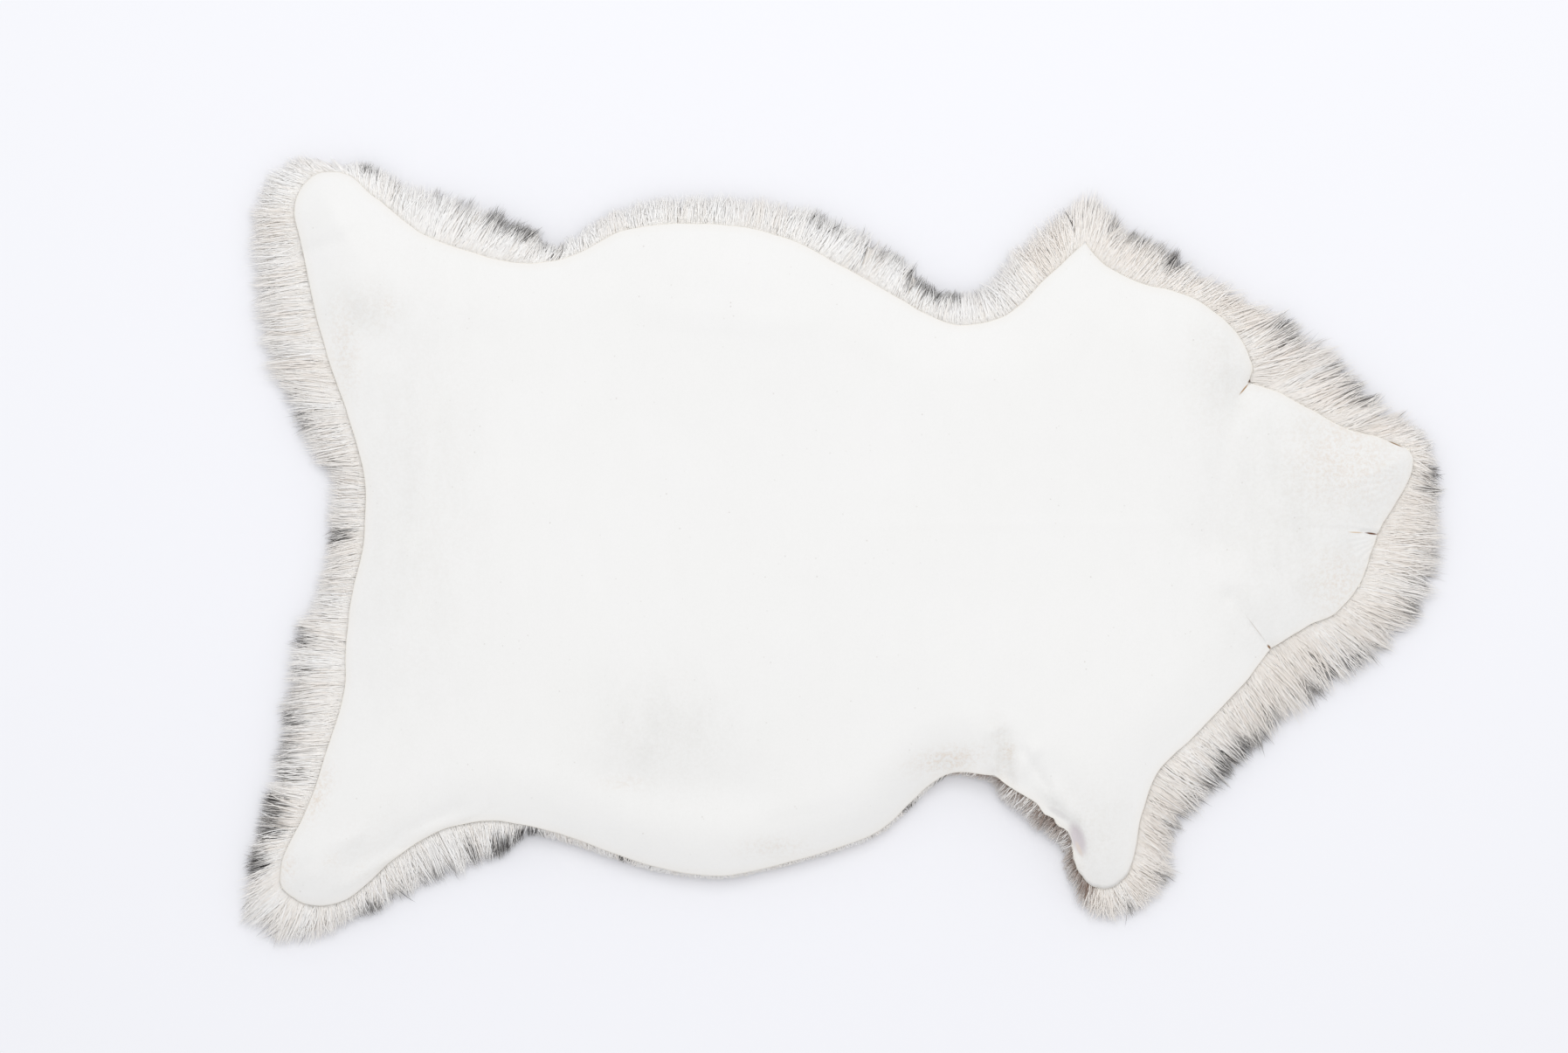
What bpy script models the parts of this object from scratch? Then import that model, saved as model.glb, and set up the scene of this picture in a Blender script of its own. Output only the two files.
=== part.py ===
"""Sheepskin rug lying wool side down: one pelt, made as its tanned hide and the fleece under it.

The rug lies on the XY plane with the neck towards +X. Its origin is under the middle of its
bounding box. Lengths in the tables are in millimetres and bearings in degrees from +X.
"""

import math

import bpy
import numpy as np
from mathutils import Vector, noise
from mathutils.geometry import delaunay_2d_cdt

MM = 0.001

# Driving sizes, in metres.
HIDE_THICKNESS = 0.002     # tanned skin
SEAT_GAP = 0.0003          # between the skin and the wool that it lies on
PILE_HEIGHT = 0.038        # wool under the middle of the hide, pressed by its weight
EDGE_ROLL = 0.055          # width of the border in which the hide falls to its edge
HIDE_MESH = 0.023          # spacing of the points inside the hide's outline
FLOOR_MESH = 0.034         # the same for the underside of the fleece
FOLD_MESH = 0.016          # and along a fold
CLEARANCE = 0.6            # of the spacing, which inner points keep from the edge and folds
EDGE_STEP = 0.0126         # width of one wool lock along the cut edge
FLAT_SPOT = 0.100          # radius of the pressed flat patch under the middle
FURROW_DEPTH = 0.007       # partings between the clumps on the underside
FURROW_WIDTH = 0.075
FURROW_SHARE = 0.16        # of the noise that sets the clumps apart
LOCK_ROOT_TOP = 0.013      # height of a lock where it leaves the fleece
LOCK_WAIST = 0.55          # how far along a lock its waist lies
LOCK_WAIST_WIDTH = 0.62    # of the step
LOCK_WAIST_HEIGHT = 0.5    # of the root
LOCK_REACH_SPREAD = 0.13   # how unevenly the locks end
CLUMP_REACH_SPREAD = 0.14  # the same for the clumps that the locks stand in
CLUMP_WIDTH = 0.045
LOCK_SWAY = 0.18           # how far a lock leans to one side, of its step

# The cut edge, clockwise from the outer side of the upper hind leg. Columns: place, x, y,
# whether the edge turns sharply, how far the wool reaches past it, the bearing of that wool,
# and the height of the hide's underside there.
HIND_LEG_UPPER = (
    ("outer side", -484, 298, False, 34, 184, 25),
    ("outer toe", -477, 320, False, 33, 168, 22),
    ("toe", -461, 332, False, 25, 142, 20),
    ("inner toe", -437, 330, False, 14, 138, 20),
    ("inner side", -418, 314, False, 24, 90, 22),
    ("shin", -398, 298, False, 29, 76, 24),
    ("thigh", -370, 277, False, 41, 68, 26),
    ("groin", -339, 265, False, 45, 58, 28),
)
FLANK_UPPER = (
    ("rear slope", -301, 254, False, 39, 50, 28),
    ("hollow", -266, 252, False, 18, 59, 28),
    ("front slope", -235, 260, False, 18, 102, 28),
    ("belly rear", -195, 280, False, 21, 103, 30),
    ("belly", -152, 286, False, 23, 94, 30),
    ("belly crown", -103, 285, False, 23, 86, 30),
    ("belly front", -65, 278, False, 27, 79, 30),
    ("chest rear", -33, 266, False, 33, 67, 30),
    ("chest", -8, 252, False, 37, 53, 30),
    ("chest front", 43, 224, False, 33, 62, 28),
    ("armpit rear", 72, 207, False, 26, 67, 26),
    ("armpit", 104, 197, False, 30, 93, 26),
)
FORELEG_UPPER = (
    ("armpit front", 141, 205, False, 32, 119, 26),
    ("inner side", 173, 234, False, 36, 130, 26),
    ("point", 212, 271, True, 30, 90, 24),
    ("outer side", 224, 255, False, 41, 53, 26),
    ("shoulder", 258, 235, False, 52, 43, 28),
)
NECK = (
    ("upper side", 294, 226, False, 27, 24, 29),
    ("upper lobe", 321, 212, False, 34, 20, 30),
    ("lobe front", 344, 191, False, 44, 21, 30),
    ("lobe end", 358, 164, False, 59, 29, 30),
    ("upper notch", 356, 147, True, 82, 20, 27),
    ("cheek", 382, 138, False, 71, 17, 28),
    ("cheek front", 410, 123, False, 54, 16, 28),
    ("brow", 440, 107, False, 48, 17, 27),
    ("muzzle top", 471, 98, False, 36, 15, 26),
    ("muzzle corner", 496, 88, False, 25, 4, 24),
    ("muzzle", 501, 75, False, 28, -22, 24),
    ("muzzle slope", 490, 48, False, 38, -16, 25),
    ("dart", 471, 17, False, 57, -4, 26),
    ("chin", 463, -5, False, 65, -10, 27),
    ("chin curve", 452, -33, False, 64, -11, 27),
    ("jaw", 432, -56, False, 61, -33, 27),
    ("throat", 407, -68, False, 62, -46, 27),
    ("lower notch", 376, -87, True, 63, -51, 26),
)
FORELEG_LOWER = (
    ("shoulder", 353, -116, False, 58, -56, 28),
    ("upper arm", 306, -166, False, 52, -40, 29),
    ("outer side", 278, -193, False, 56, -39, 28),
    ("forearm", 262, -232, False, 38, -33, 26),
    ("outer toe", 255, -275, False, 39, -31, 22),
    ("toe", 234, -298, False, 30, -83, 20),
    ("inner toe", 212, -285, False, 17, -95, 22),
    ("inner side", 201, -255, False, 17, -124, 28),
    ("fold", 182, -236, False, 15, -133, 33),
    ("armpit front", 156, -214, False, 14, -137, 33),
)
FLANK_LOWER = (
    ("armpit", 132, -199, False, 7, -135, 27),
    ("armpit rear", 91, -198, False, 4, -104, 21),
    ("chest front", 62, -220, False, 5, -72, 18),
    ("chest", 30, -249, False, 5, -79, 17),
    ("belly front", -46, -275, False, 4, -90, 18),
    ("belly", -109, -288, False, 4, -90, 19),
    ("belly rear", -174, -278, False, 5, -120, 20),
    ("front slope", -229, -258, False, 7, -66, 22),
    ("hollow front", -271, -245, False, 8, -107, 25),
    ("hollow", -311, -239, False, 34, -90, 27),
)
HIND_LEG_LOWER = (
    ("thigh", -354, -247, False, 41, -69, 27),
    ("shin", -398, -274, False, 35, -78, 25),
    ("inner toe", -439, -309, False, 20, -74, 22),
    ("toe", -473, -313, False, 35, -109, 20),
    ("toe corner", -495, -298, False, 43, -134, 20),
    ("outer toe", -495, -274, False, 34, -156, 22),
    ("outer side", -475, -233, False, 39, 172, 25),
)
RUMP = (
    ("lower side", -453, -170, False, 46, 185, 26),
    ("lower hip", -440, -124, False, 57, 188, 27),
    ("lower swell", -438, -78, False, 47, 177, 27),
    ("tail lower", -433, -40, False, 34, 182, 27),
    ("tail", -423, 6, False, 36, 192, 27),
    ("tail upper", -422, 60, False, 34, 174, 27),
    ("upper swell", -432, 103, False, 46, 186, 27),
    ("upper hip", -447, 147, False, 56, 176, 27),
    ("upper side", -464, 202, False, 51, 184, 26),
    ("ankle", -476, 260, False, 44, 190, 25),
)
EDGE_TABLES = (
    HIND_LEG_UPPER, FLANK_UPPER, FORELEG_UPPER, NECK,
    FORELEG_LOWER, FLANK_LOWER, HIND_LEG_LOWER, RUMP,
)

# Folds of the laid hide. Columns: name, x and y of its two ends, half width, height (a
# trough is negative).
FOLDS = (
    ("neck trough", 352, 132, 329, 8, 24, -6.0),
    ("lower neck crease", 374, -86, 340, -42, 9, -3.5),
    ("armpit ridge", 134, -195, 143, -166, 9, 6.0),
    ("armpit trough", 152, -203, 156, -168, 8, -4.0),
    ("foreleg roll", 168, -214, 205, -250, 11, 5.0),
    ("hind leg ridge", -436, -288, -330, -236, 9, 3.5),
    ("hind leg trough", -430, -268, -340, -226, 8, -3.0),
    ("toe crease", -472, 260, -432, 276, 8, -3.0),
    ("rump trough", -398, 172, -392, 30, 26, -3.5),
    ("belly trough", -208, -202, -92, -214, 24, -3.5),
    ("flank ridge", -170, 214, -40, 196, 16, 1.8),
)

# The slow rise and fall of the laid hide. Columns: bearing, wavelength, height, phase.
WAVES = (
    (20, 430, 1.3, 40),
    (78, 310, 1.1, 200),
    (131, 235, 0.8, 110),
)

# The rim of the fleece, from under the cut edge out to the roots of its locks. Columns:
# place, how far along the wool's reach, height as a share of the hide's edge.
RIM = (
    ("shoulder", 0.20, 0.96),
    ("crown", 0.40, 0.84),
    ("fall", 0.56, 0.60),
)
BULGE = 0.12               # how far the rim bulges and draws in, of the reach
BULGE_WIDTH = 0.030
LUMP = 0.16                # how much the rim rises and dips, of its height
LUMP_WIDTH = 0.026
LOCK_ROOT = 0.64           # share of the reach at which a lock leaves the rim


def clear_scene():
    """Remove whatever the file holds before the rug is built."""
    for obj in list(bpy.data.objects):
        bpy.data.objects.remove(obj, do_unlink=True)


def curve_tangents(points, sharp):
    """Leaving and arriving tangents of the smooth curve through points; sharp ones are split."""
    before = np.roll(points, 1, axis=0)
    after = np.roll(points, -1, axis=0)
    span_in = np.sqrt(np.linalg.norm(points - before, axis=1))[:, None]
    span_out = np.sqrt(np.linalg.norm(after - points, axis=1))[:, None]
    slope = (
        (points - before) / span_in
        - (after - before) / (span_in + span_out)
        + (after - points) / span_out
    )
    leaving = slope * span_out
    arriving = slope * span_in
    leaving[sharp] = (after - points)[sharp]
    arriving[sharp] = (points - before)[sharp]
    return leaving, arriving


def trace_edge(rows, samples=24):
    """The cut edge as a dense closed curve, with the wool's reach and the edge height on it."""
    points = np.array([(row[1], row[2]) for row in rows], float) * MM
    sharp = np.array([row[3] for row in rows])
    bearing = np.radians([row[5] for row in rows])
    reach = np.array([row[4] for row in rows], float)[:, None] * MM
    wool = reach * np.stack([np.cos(bearing), np.sin(bearing)], axis=1)
    height = np.array([row[6] for row in rows], float)[:, None] * MM
    leaving, arriving = curve_tangents(points, sharp)
    s = np.linspace(0.0, 1.0, samples, endpoint=False)[:, None]
    traced = []
    for i in range(len(rows)):
        j = (i + 1) % len(rows)
        place = (
            (2 * s**3 - 3 * s**2 + 1) * points[i]
            + (s**3 - 2 * s**2 + s) * leaving[i]
            + (3 * s**2 - 2 * s**3) * points[j]
            + (s**3 - s**2) * arriving[j]
        )
        ease = 3 * s**2 - 2 * s**3
        carried = [value[i] + (value[j] - value[i]) * ease for value in (wool, height)]
        traced.append(np.hstack([place, *carried]))
    corners = [i * samples for i in np.flatnonzero(sharp)]
    return np.concatenate(traced), corners


def step_edge(traced, corners, step):
    """Even steps along the traced edge, with a point kept at each sharp corner."""
    ends = corners + [corners[0] + len(traced)]
    wrapped = np.concatenate([traced, traced])
    stepped = []
    for start, stop in zip(ends[:-1], ends[1:]):
        run = wrapped[start:stop + 1]
        lengths = np.linalg.norm(np.diff(run[:, :2], axis=0), axis=1)
        along = np.concatenate([[0.0], np.cumsum(lengths)])
        count = max(3, round(along[-1] / step))
        wanted = np.linspace(0.0, along[-1], count, endpoint=False)
        stepped.append(np.stack([np.interp(wanted, along, column) for column in run.T], axis=1))
    return np.concatenate(stepped)


def edge_distance(points, outline):
    """Distance from each point to the outline's steps."""
    gaps = points[:, None, :] - outline[None, :, :]
    return np.sqrt((gaps**2).sum(axis=2))


def inside(points, outline):
    """Which points lie inside the outline, by the number of edges to their right."""
    x, y = points[:, :1], points[:, 1:]
    start, stop = outline, np.roll(outline, -1, axis=0)
    spans = (start[:, 1] > y) != (stop[:, 1] > y)
    rise = np.where(stop[:, 1] == start[:, 1], 1.0, stop[:, 1] - start[:, 1])
    crossing = start[:, 0] + (y - start[:, 1]) / rise * (stop[:, 0] - start[:, 0])
    return (spans & (x < crossing)).sum(axis=1) % 2 == 1


def fold_points():
    """Points along each fold's crest and its two feet."""
    found = []
    for _, x0, y0, x1, y1, width, _ in FOLDS:
        start, stop = np.array([x0, y0]) * MM, np.array([x1, y1]) * MM
        length = np.linalg.norm(stop - start)
        side = np.array([y0 - y1, x1 - x0]) * MM / length
        count = max(2, round(length / FOLD_MESH))
        line = start + np.linspace(0, 1, count + 1)[:, None] * (stop - start)
        for offset in (0.0, 1.0, -1.0):
            found.append(line + offset * width * MM * side)
    return np.concatenate(found)


def thin_out(points, spacing):
    """Drop each point that lies closer than spacing to one already kept."""
    kept = []
    for point in points:
        if all(np.hypot(*(point - other)) > spacing for other in kept):
            kept.append(point)
    return np.array(kept)


def fill_outline(outline, pitch, along_folds=None):
    """Triangles that fill the outline: a staggered grid, closer along the folds."""
    low, high = outline.min(axis=0), outline.max(axis=0)
    row_gap = pitch * math.sqrt(0.75)
    rows = []
    for row, y in enumerate(np.arange(low[1], high[1], row_gap)):
        x = np.arange(low[0] + (row % 2) * pitch / 2, high[0], pitch)
        rows.append(np.stack([x, np.full_like(x, y)], axis=1))
    grid = np.concatenate(rows)
    if along_folds is not None:
        folds = thin_out(along_folds, FOLD_MESH / 2)
        grid = grid[edge_distance(grid, folds).min(axis=1) > pitch * CLEARANCE]
        grid = np.concatenate([folds, grid])
    grid = grid[inside(grid, outline)]
    grid = grid[edge_distance(grid, outline).min(axis=1) > EDGE_STEP * CLEARANCE]
    points = np.concatenate([outline, grid])
    count = len(outline)
    edges = [(i, (i + 1) % count) for i in range(count)]
    filled = delaunay_2d_cdt([Vector(p) for p in points], edges, [], 1, 1e-7)
    return np.array([tuple(p) for p in filled[0]]), [tuple(face) for face in filled[2]]


def ripple(points, width, layer):
    """Smooth noise in -1 to 1 at each point, with features of the given width."""
    return np.array([noise.noise(Vector((x / width, y / width, layer))) for x, y in points])


def hide_underside(points, edge):
    """Height of the hide's underside: its pressed pile, border, slow swell and folds."""
    apart = edge_distance(points, edge[:, :2])
    weight = 1.0 / (apart + 1e-4) ** 3
    border = (weight * edge[:, 4]).sum(axis=1) / weight.sum(axis=1)
    inward = np.clip(apart.min(axis=1) / EDGE_ROLL, 0.0, 1.0)
    ease = np.sin(inward * math.pi / 2)
    height = border + (PILE_HEIGHT - border) * ease
    for bearing, wavelength, rise, phase in WAVES:
        heading = np.array([math.cos(math.radians(bearing)), math.sin(math.radians(bearing))])
        turn = 2 * math.pi * (points @ heading) / (wavelength * MM) + math.radians(phase)
        height += rise * MM * ease * np.sin(turn)
    for _, x0, y0, x1, y1, width, rise in FOLDS:
        start, stop = np.array([x0, y0]) * MM, np.array([x1, y1]) * MM
        run = stop - start
        share = np.clip((points - start) @ run / (run @ run), 0.0, 1.0)
        away = np.linalg.norm(points - start - share[:, None] * run, axis=1)
        height += rise * MM * np.exp(-((away / (width * MM)) ** 2))
    return height


def fleece_underside(points):
    """Height of the wool's underside: flat where it is pressed, with partings between clumps."""
    clumps = np.abs(ripple(points, FURROW_WIDTH, 3.5))
    height = FURROW_DEPTH * np.clip(1.0 - clumps / FURROW_SHARE, 0.0, 1.0)
    height[np.hypot(*points.T) < FLAT_SPOT] = 0.0
    return height


def build_mesh(name, vertices, faces, material):
    """A named object of these vertices and faces, shaded smooth except at sharp edges."""
    mesh = bpy.data.meshes.new(name)
    mesh.from_pydata(vertices.tolist(), [], faces)
    mesh.validate()
    mesh.materials.append(material)
    mesh.shade_smooth()
    mesh.set_sharp_from_angle(angle=math.radians(50))
    obj = bpy.data.objects.new(name, mesh)
    bpy.context.scene.collection.objects.link(obj)
    return obj


def lift(points, height):
    """Points of the plan at these heights."""
    return np.column_stack([points, height])


def turned(faces):
    """The same faces looking the other way."""
    return [tuple(reversed(face)) for face in faces]


def band(first, second, count):
    """Quads between two closed rings of vertices that start at these indices."""
    quads = []
    for i in range(count):
        j = (i + 1) % count
        quads.append((first + i, second + i, second + j, first + j))
    return quads


def make_hide(plan, faces, count, underside, material):
    """The tanned skin: two layers of the same plan joined along the cut edge."""
    size = len(plan)
    vertices = np.concatenate([lift(plan, underside + HIDE_THICKNESS), lift(plan, underside)])
    lower = [tuple(i + size for i in face) for face in faces]
    shell = list(faces) + turned(lower) + band(0, size, count)
    return build_mesh("hide", vertices, shell, material)


def make_locks(edge, roots, first, seed):
    """One four-sided tapering lock on each step of the rim, resting on the floor."""
    rng = np.random.default_rng(seed)
    count = len(edge)
    vertices, faces = [], []
    after = np.roll(np.arange(count), -1)
    middle = (edge[:, :2] + edge[after, :2]) / 2
    wool = (edge[:, 2:4] + edge[after, 2:4]) / 2
    clumps = CLUMP_REACH_SPREAD * ripple(middle, CLUMP_WIDTH, 21.5)
    ends = 1.0 + LOCK_REACH_SPREAD * rng.uniform(-0.8, 0.8, count) + clumps
    sway = LOCK_SWAY * rng.uniform(-1.0, 1.0, count)
    top = first
    floor = first + count
    for i, j in enumerate(after):
        at = LOCK_ROOT + (ends[i] - LOCK_ROOT) * LOCK_WAIST
        left = edge[i, :2] + edge[i, 2:4] * at
        right = edge[j, :2] + edge[j, 2:4] * at
        centre = middle[i] + wool[i] * at + (right - left) * sway[i]
        half = (right - left) / 2 * LOCK_WAIST_WIDTH
        height = roots[i] * LOCK_WAIST_HEIGHT
        tip = middle[i] + wool[i] * ends[i] + (right - left) * sway[i] * 1.5
        waist = first + 2 * count + len(vertices)
        vertices += [
            (*(centre - half), height), (*(centre + half), height),
            (*(centre + half), 0.0), (*(centre - half), 0.0), (*tip, 0.0),
        ]
        root = (top + i, top + j, floor + j, floor + i)
        for k in range(4):
            m = (k + 1) % 4
            faces.append((root[k], waist + k, waist + m, root[m]))
            faces.append((waist + k, waist + 4, waist + m))
    return np.array(vertices), faces


def make_fleece(edge, plan, faces, underside, material):
    """The wool: a lumpy slab under the hide that bulges past its edge and ends in locks."""
    count = len(edge)
    outline = edge[:, :2]
    tufts = 1.0 + BULGE * ripple(outline, BULGE_WIDTH, 7.5)
    rings = []
    for place, (_, share, rise) in enumerate(RIM):
        out = outline + edge[:, 2:4] * (share * tufts)[:, None]
        lump = 1.0 + LUMP * ripple(out, LUMP_WIDTH, 11.5 + place)
        rings.append(lift(out, underside[:count] * rise * lump))
    roots = LOCK_ROOT_TOP * (1.0 + LUMP * ripple(outline, LUMP_WIDTH, 15.5))
    roots = np.minimum(roots, underside[:count] / 2)
    foot = outline + edge[:, 2:4] * LOCK_ROOT
    rings.append(lift(foot, roots))
    rings.append(lift(foot, np.zeros(count)))
    floor_plan, floor_faces = fill_outline(outline, FLOOR_MESH)
    floor_height = fleece_underside(floor_plan)
    floor_height[:count] = 0.0

    size = len(plan)
    vertices = [lift(plan, underside - SEAT_GAP), *rings]
    shell = list(faces)
    starts = [0] + [size + k * count for k in range(len(rings))]
    for inner, outer in zip(starts[:-2], starts[1:-1]):
        shell += band(inner, outer, count)
    locks, lock_faces = make_locks(edge, roots, starts[-2], seed=8)
    shell += lock_faces
    vertices.append(locks)
    floor_start = sum(len(part) for part in vertices)
    vertices.append(lift(floor_plan, floor_height))
    shell += band(starts[-1], floor_start, count)
    shell += turned([tuple(i + floor_start for i in face) for face in floor_faces])
    return build_mesh("fleece", np.concatenate(vertices), shell, material)


def make_material(name, colour, roughness):
    """A plain non-metal surface."""
    material = bpy.data.materials.new(name)
    material.use_nodes = True
    shader = material.node_tree.nodes["Principled BSDF"]
    shader.inputs["Base Color"].default_value = (*colour, 1.0)
    shader.inputs["Roughness"].default_value = roughness
    shader.inputs["Metallic"].default_value = 0.0
    material.diffuse_color = (*colour, 1.0)
    return material


def centre_on_origin(objects):
    """Move the meshes so that the middle of their common box stands over the origin."""
    corners = [vertex.co for obj in objects for vertex in obj.data.vertices]
    xs, ys = [c.x for c in corners], [c.y for c in corners]
    shift = Vector(((min(xs) + max(xs)) / 2, (min(ys) + max(ys)) / 2, 0.0))
    for obj in objects:
        for vertex in obj.data.vertices:
            vertex.co -= shift


def build_rug():
    clear_scene()
    rows = [row for table in EDGE_TABLES for row in table]
    edge = step_edge(*trace_edge(rows), EDGE_STEP)[::-1]
    plan, faces = fill_outline(edge[:, :2], HIDE_MESH, fold_points())
    underside = hide_underside(plan, edge)
    suede = make_material("suede", (0.87, 0.86, 0.84), 0.85)
    wool = make_material("wool", (0.72, 0.69, 0.64), 0.9)
    hide = make_hide(plan, faces, len(edge), underside, suede)
    fleece = make_fleece(edge, plan, faces, underside, wool)
    centre_on_origin((hide, fleece))


build_rug()
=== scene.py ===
import math

import bpy
import numpy as np
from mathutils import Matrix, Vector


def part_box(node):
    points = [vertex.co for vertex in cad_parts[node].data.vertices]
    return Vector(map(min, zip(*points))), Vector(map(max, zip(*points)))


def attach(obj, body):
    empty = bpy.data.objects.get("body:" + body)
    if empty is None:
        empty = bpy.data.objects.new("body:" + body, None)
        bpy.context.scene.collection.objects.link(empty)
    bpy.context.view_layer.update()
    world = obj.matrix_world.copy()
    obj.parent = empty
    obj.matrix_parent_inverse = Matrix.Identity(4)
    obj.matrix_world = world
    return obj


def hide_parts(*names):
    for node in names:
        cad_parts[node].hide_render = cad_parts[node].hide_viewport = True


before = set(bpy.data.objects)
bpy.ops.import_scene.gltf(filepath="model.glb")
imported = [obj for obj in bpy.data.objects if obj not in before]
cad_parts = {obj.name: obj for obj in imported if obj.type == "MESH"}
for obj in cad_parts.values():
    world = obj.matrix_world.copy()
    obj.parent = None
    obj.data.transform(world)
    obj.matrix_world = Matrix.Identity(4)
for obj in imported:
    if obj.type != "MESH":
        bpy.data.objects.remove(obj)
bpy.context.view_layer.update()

# A sheepskin laid wool side down: the suede of the hide above, its fleece under it and round it.
# Tables are in millimetres and degrees, as the skin was measured; the meshes are in metres. A place
# on the plan is a complex number x + iy, which one product can turn.

mm = 0.001
print("frame loaded, nodes:", ", ".join(sorted(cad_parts)))

# The cut edge, clockwise from the outer side of the upper hind leg. Columns: place, x, y, whether
# the edge turns sharply, how far the wool reaches past it and its bearing, height of the hide's
# underside.
cutEdge = (
    ("upper leg side", -484, 298, 0, 39, 184, 25),
    ("upper leg corner", -477, 320, 0, 35, 166, 22),
    ("upper leg toe", -461, 332, 0, 26, 142, 20),
    ("upper inner toe", -437, 330, 0, 15, 130, 20),
    ("upper inner side", -418, 314, 0, 27, 90, 22),
    ("upper shin", -398, 298, 0, 30, 76, 24),
    ("upper thigh", -370, 277, 0, 42, 68, 26),
    ("upper groin", -339, 265, 0, 46, 58, 28),
    ("upper rear slope", -301, 254, 0, 40, 50, 28),
    ("upper hollow", -266, 252, 0, 19, 59, 28),
    ("upper front slope", -235, 260, 0, 19, 102, 28),
    ("upper belly rear", -195, 280, 0, 23, 103, 30),
    ("upper belly", -152, 286, 0, 26, 94, 30),
    ("upper belly crown", -103, 285, 0, 27, 86, 30),
    ("upper belly front", -65, 278, 0, 30, 79, 30),
    ("upper chest rear", -33, 266, 0, 34, 67, 30),
    ("upper chest", -8, 252, 0, 38, 53, 30),
    ("upper chest front", 43, 224, 0, 34, 62, 28),
    ("upper armpit rear", 72, 207, 0, 27, 67, 26),
    ("upper armpit", 104, 197, 0, 31, 93, 26),
    ("upper armpit front", 140, 205, 0, 33, 118, 26),
    ("upper armpit nick", 151, 212, 0, 34, 125, 26),
    ("upper foreleg inside", 173, 234, 0, 38, 128, 26),
    ("upper foreleg point", 212, 271, 1, 46, 86, 24),
    ("upper foreleg outside", 224, 255, 0, 40, 58, 26),
    ("upper shoulder", 258, 235, 0, 45, 43, 28),
    ("upper neck side", 294, 226, 0, 28, 24, 29),
    ("upper lobe", 321, 212, 0, 35, 20, 30),
    ("lobe front", 344, 191, 0, 45, 21, 30),
    ("lobe end", 358, 164, 0, 60, 29, 30),
    ("upper notch", 357, 147, 1, 82, 20, 27),
    ("cheek", 382, 138, 0, 71, 17, 28),
    ("cheek front", 410, 123, 0, 54, 16, 28),
    ("brow", 440, 107, 0, 48, 17, 27),
    ("muzzle top", 471, 98, 0, 36, 15, 26),
    ("muzzle corner", 496, 88, 0, 25, 4, 24),
    ("muzzle", 501, 75, 0, 28, -22, 24),
    ("muzzle slope", 490, 48, 0, 38, -16, 25),
    ("dart", 471, 17, 0, 57, -4, 26),
    ("chin", 463, -5, 0, 65, -10, 27),
    ("chin curve", 452, -33, 0, 66, -11, 27),
    ("jaw", 432, -56, 0, 59, -33, 27),
    ("throat", 407, -68, 0, 62, -46, 27),
    ("lower notch", 376, -87, 1, 63, -51, 26),
    ("lower shoulder", 353, -116, 0, 54, -56, 28),
    ("lower upper arm", 306, -166, 0, 48, -40, 29),
    ("lower foreleg outside", 278, -193, 0, 56, -39, 28),
    ("lower forearm", 262, -232, 0, 38, -33, 26),
    ("lower outer toe", 254, -276, 0, 41, -31, 22),
    ("lower toe front", 244, -293, 0, 34, -58, 20),
    ("lower foreleg toe", 232, -299, 0, 31, -80, 20),
    ("lower toe heel", 219, -297, 0, 24, -100, 20),
    ("lower inner toe", 208, -286, 0, 14, -118, 22),
    ("lower shin nick", 205, -281, 0, 12, -128, 23),
    ("lower inner ankle", 202, -272, 0, 11, -138, 24),
    ("lower inner side", 200.5, -258, 0, 12, -130, 27),
    ("lower knee", 197, -249, 0, 14, -130, 30),
    ("lower knee nick", 189, -243, 0, 15, -131, 31),
    ("lower fold", 183, -236, 0, 17, -133, 32),
    ("lower fold crest", 175, -232, 0, 18, -131, 33),
    ("lower fold nick", 169, -223, 0, 19, -130, 33),
    ("lower armpit front", 155, -215, 0, 17, -132, 33),
    ("lower armpit", 132, -199, 1, 8, -135, 27),
    ("lower armpit rear", 91, -198, 0, 4, -104, 21),
    ("lower chest front", 62, -220, 0, 6, -72, 18),
    ("lower chest", 30, -249, 0, 5, -79, 17),
    ("lower belly front", -46, -275, 0, 4, -90, 18),
    ("lower belly", -109, -288, 0, 4, -90, 19),
    ("lower belly rear", -174, -278, 0, 6, -120, 20),
    ("lower front slope", -229, -258, 0, 9, -66, 22),
    ("lower hollow front", -271, -245, 0, 9, -107, 25),
    ("lower hollow", -311, -239, 0, 35, -90, 27),
    ("lower thigh", -354, -247, 0, 42, -69, 27),
    ("lower shin", -398, -274, 0, 36, -78, 25),
    ("lower inner leg", -439, -309, 0, 21, -74, 22),
    ("lower leg toe", -473, -313, 0, 39, -112, 20),
    ("lower leg corner", -495, -298, 0, 48, -134, 20),
    ("lower outer toe", -495, -274, 0, 37, -158, 22),
    ("lower leg side", -475, -233, 0, 41, 172, 25),
    ("lower rump", -453, -170, 0, 48, 185, 26),
    ("lower hip", -440, -124, 0, 58, 188, 27),
    ("lower swell", -438, -78, 0, 49, 177, 27),
    ("lower tail", -433, -40, 0, 35, 182, 27),
    ("tail", -423, 6, 0, 37, 192, 27),
    ("upper tail", -422, 60, 0, 36, 174, 27),
    ("upper swell", -432, 103, 0, 47, 186, 27),
    ("upper hip", -447, 147, 0, 59, 176, 27),
    ("upper rump", -464, 202, 0, 55, 184, 26),
    ("upper ankle", -476, 260, 0, 48, 190, 25),
)
edgeSamples = 20        # between one station and the next
knifeWander = ((61, 0.22, 0.4), (97, 0.16, 2.1), (151, 0.12, 4.4))    # turns, height, phase
stationOf = {row[0]: i for i, row in enumerate(cutEdge)}


def fromZero(steps):
    # running total of the steps, with 0 before the first
    return np.concatenate([[0], np.cumsum(steps)])


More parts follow.
